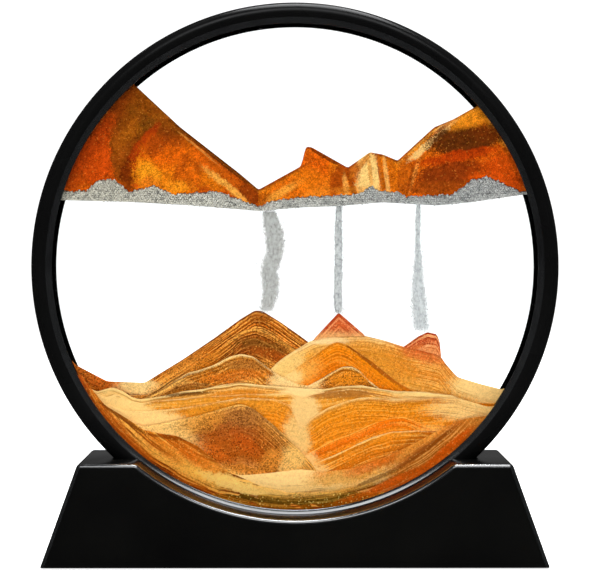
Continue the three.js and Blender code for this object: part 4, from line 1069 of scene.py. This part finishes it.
loose = greyGrains()
column = {"sides": 20, "slices": 60, "y": 1.0, "spread": 0.5, "reach": 1.35, "grain": (0.1, 0.2)}
threads = {
    "stream_left": {"piece": "falling_sand_left", "deep": 2.2, "z": (19.8, -15.6), "grains": 500,
        "x": [-9, -8.4, -7.4, -6.9, -6.8, -7.9, -9, -8.4, -8.3, -9.1, -10.2],
        "wide": [5.6, 6.9, 8.2, 8.2, 7.4, 8, 7.2, 7.6, 6.8, 6.2, 4.8], "cover": 0.85,
        "tone": ("#A09E9A", "#ACABA6", "#BEBEBC")},
    "stream_centre": {"piece": "falling_sand_centre", "deep": 1.5, "z": (21.6, -15.9), "grains": 1700,
        "x": [15.1, 15, 14.9, 15, 14.9, 14.8, 14.8, 14.9], "wide": [2.2, 2.6, 3.1, 2.9, 3.2, 3.2, 3.4, 3], "cover": 1,
        "tone": ("#A6A8AA", "#B8B9B8", "#CCCDCC")},
    "stream_right": {"piece": "falling_sand_right", "deep": 1.5, "z": (22.2, -22.4), "grains": 500,
        "x": [42.5, 42.3, 42.2, 42.4, 42.3, 42.6, 43, 43.6], "wide": [1.7, 2.1, 1.9, 3, 4.6, 6, 6.6, 6.4],
        "cover": 0.7, "tone": ("#B0B2B4", "#BEC0C0", "#D0D2D2")},
}


def valueAt(values, share):  # between values spaced evenly down the thread
    return np.interp(share, np.linspace(0, 1, len(values)), values)


def makeThread(node, thread):
    random.seed(len(node) * 7)
    zTop, zFoot = thread["z"]
    veil = cylinder(column["sides"], 1, 2, (0, 0, 0))
    edit()
    for i in range(1, column["slices"]):
        bisect((0, 0, 2 * i / column["slices"] - 1), (0, 0, 1))
    done()
    veil.data.uv_layers[0].name = "strata"
    offsets = [(vertex.co.x, abs(vertex.co.z) / 2) for vertex in veil.data.vertices]
    for loop in veil.data.loops:
        veil.data.uv_layers[0].data[loop.index].uv = offsets[loop.vertex_index]
    for vertex in veil.data.vertices:
        share = (1 - vertex.co.z) / 2
        half = valueAt(thread["wide"], share) / 2
        x = valueAt(thread["x"], share) + vertex.co.x * half
        vertex.co = (x, column["y"] + vertex.co.y * thread["deep"] / 2, zTop + (zFoot - zTop) * share)
    toFrame(veil, pivot)
    spots = []
    for i in range(thread["grains"]):
        share = random.random()
        half = valueAt(thread["wide"], share) / 2
        across = max(-column["reach"], min(column["reach"], random.gauss(0, column["spread"])))
        y = column["y"] + random.uniform(-0.5, 0.5) * thread["deep"]
        z = zTop + (zFoot - zTop) * share
        spots.append((valueAt(thread["x"], share) + across * half, y, z, random.uniform(*column["grain"])))
    grains = scatter(thread["piece"], grainShape(subdivisions=1), spots)
    grains.data.materials.append(loose)
    veil.data.materials.append(siltMaterial("silt_of_" + thread["piece"], thread["cover"], thread["tone"]))
    choose(grains, veil)
    bpy.ops.object.join()
    finishPiece(grains, "sand_disc", [node], list(grains.data.materials))


for node, thread in threads.items():
    makeThread(node, thread)
print("falling threads done")


# Solids that keep the shape of the frame model, with their own finishes
glass, liquid = floatGlass(), clearLiquid()
seal = makeRubber("silicone_seal", "#121212", "#1E1E1E")
footRubber = makeRubber("foot_pad_rubber", "#161616", "#262626")
finishes = {"front_glass": glass, "rear_glass": glass, "liquid_above": liquid, "liquid_below": liquid,
            "rim_spacer": seal, "fill_plug": seal, "stand_base_plate": satinBlack}
for i in range(1, 5):
    finishes[f"base_screw_{i}"] = steel
    finishes[f"foot_pad_{i}"] = footRubber
for node, material in finishes.items():
    solid = frame["nodes"][node]
    solid.data.materials.clear()
    solid.data.materials.append(material)
print("finishes of the frame's own solids done")


# Stage: a pale floor under a soft studio
studio = {
    "floor": 3.0, "floorColour": "#EDEDEC", "floorGlow": 0.8, "sky": 1.2, "ambient": 0.38, "shine": 0.06,
    "backdrop": 0.17, "floorSheen": "#303030", "lamps": [
        {"name": "front_soft", "place": (0, -0.75, 0.72), "aim": (0, 0, 0.09), "size": (0.7, 0.35), "watts": 4.6},
        {"name": "overhead_soft", "place": (0.08, 0.02, 0.95), "aim": (0, 0, 0.05), "size": (0.55, 0.5), "watts": 14},
    ], "coolWhite": (0.97, 0.985, 1),
}

bpy.ops.mesh.primitive_plane_add(size=studio["floor"] * 2)
floor = bpy.context.object
floor.name = "studio_floor"
floorMaterial, add, floorShader = newMaterial("matt_paper", {"Roughness": 0.95, "Specular IOR Level": 0})
fibre = add("TexNoise", {"Scale": 40, "Detail": 3}, {"Vector": add("TexCoord").outputs["Object"]})
fibreTone = add("ValToRGB", links={"Fac": fibre})
setStops(fibreTone, [(0.3, studio["floorColour"]), (0.7, "#F3F3F2")])
seen = add("LightPath")  # the paper is lit up as the background is, so that the two meet without a line
glow = add("Math", {"operation": "MULTIPLY", 1: studio["floorGlow"]}, {0: seen.outputs["Is Camera Ray"]})
floorShader.inputs["Emission Color"].default_value = (1, 1, 1, 1)
mirrored = add("Mix", {"data_type": "RGBA", 7: linear(studio["floorSheen"])},
               {0: seen.outputs["Is Glossy Ray"], 6: fibreTone})  # dark cloth, as the blacks show it
feed(floorShader, {"Base Color": mirrored.outputs[2], "Emission Strength": glow})
floor.data.materials.append(floorMaterial)

for lamp in studio["lamps"]:
    bpy.ops.object.light_add(type="AREA", location=lamp["place"])
    light = bpy.context.object
    light.name = lamp["name"]
    light.rotation_euler = (Vector(lamp["aim"]) - Vector(lamp["place"])).to_track_quat("-Z", "Y").to_euler()
    light.data.shape = "RECTANGLE"
    light.data.size, light.data.size_y = lamp["size"]
    light.data.energy = lamp["watts"]
    light.data.color = studio["coolWhite"]
    light.visible_camera = False

world = bpy.data.worlds.new("white_studio")
bpy.context.scene.world = world
world.use_nodes = True
world.node_tree.nodes.clear()
add = partial(addNode, world.node_tree)
path = add("LightPath")
heading = add("SeparateXYZ", links={"Vector": add("TexCoord").outputs["Generated"]})
backdrop = add("MapRange", {"From Min": 0.75, "From Max": 0.98, "To Min": studio["shine"],
                            "To Max": studio["backdrop"]}, {"Value": heading.outputs["Y"]})
level = add("Mix", {"data_type": "FLOAT", 2: studio["ambient"]}, {0: path.outputs["Is Glossy Ray"], 3: backdrop})
level = add("Mix", {"data_type": "FLOAT", 3: studio["sky"]}, {0: path.outputs["Is Camera Ray"], 2: level})
sky = add("Background", {"Color": (1, 1, 1, 1)}, {"Strength": level})
add("OutputWorld", links={"Surface": sky})
bpy.context.scene.view_settings.view_transform = "Standard"
bpy.context.scene.cycles.transparent_max_bounces = 24  # panes, liquid and silt lie one behind another
print("stage done")
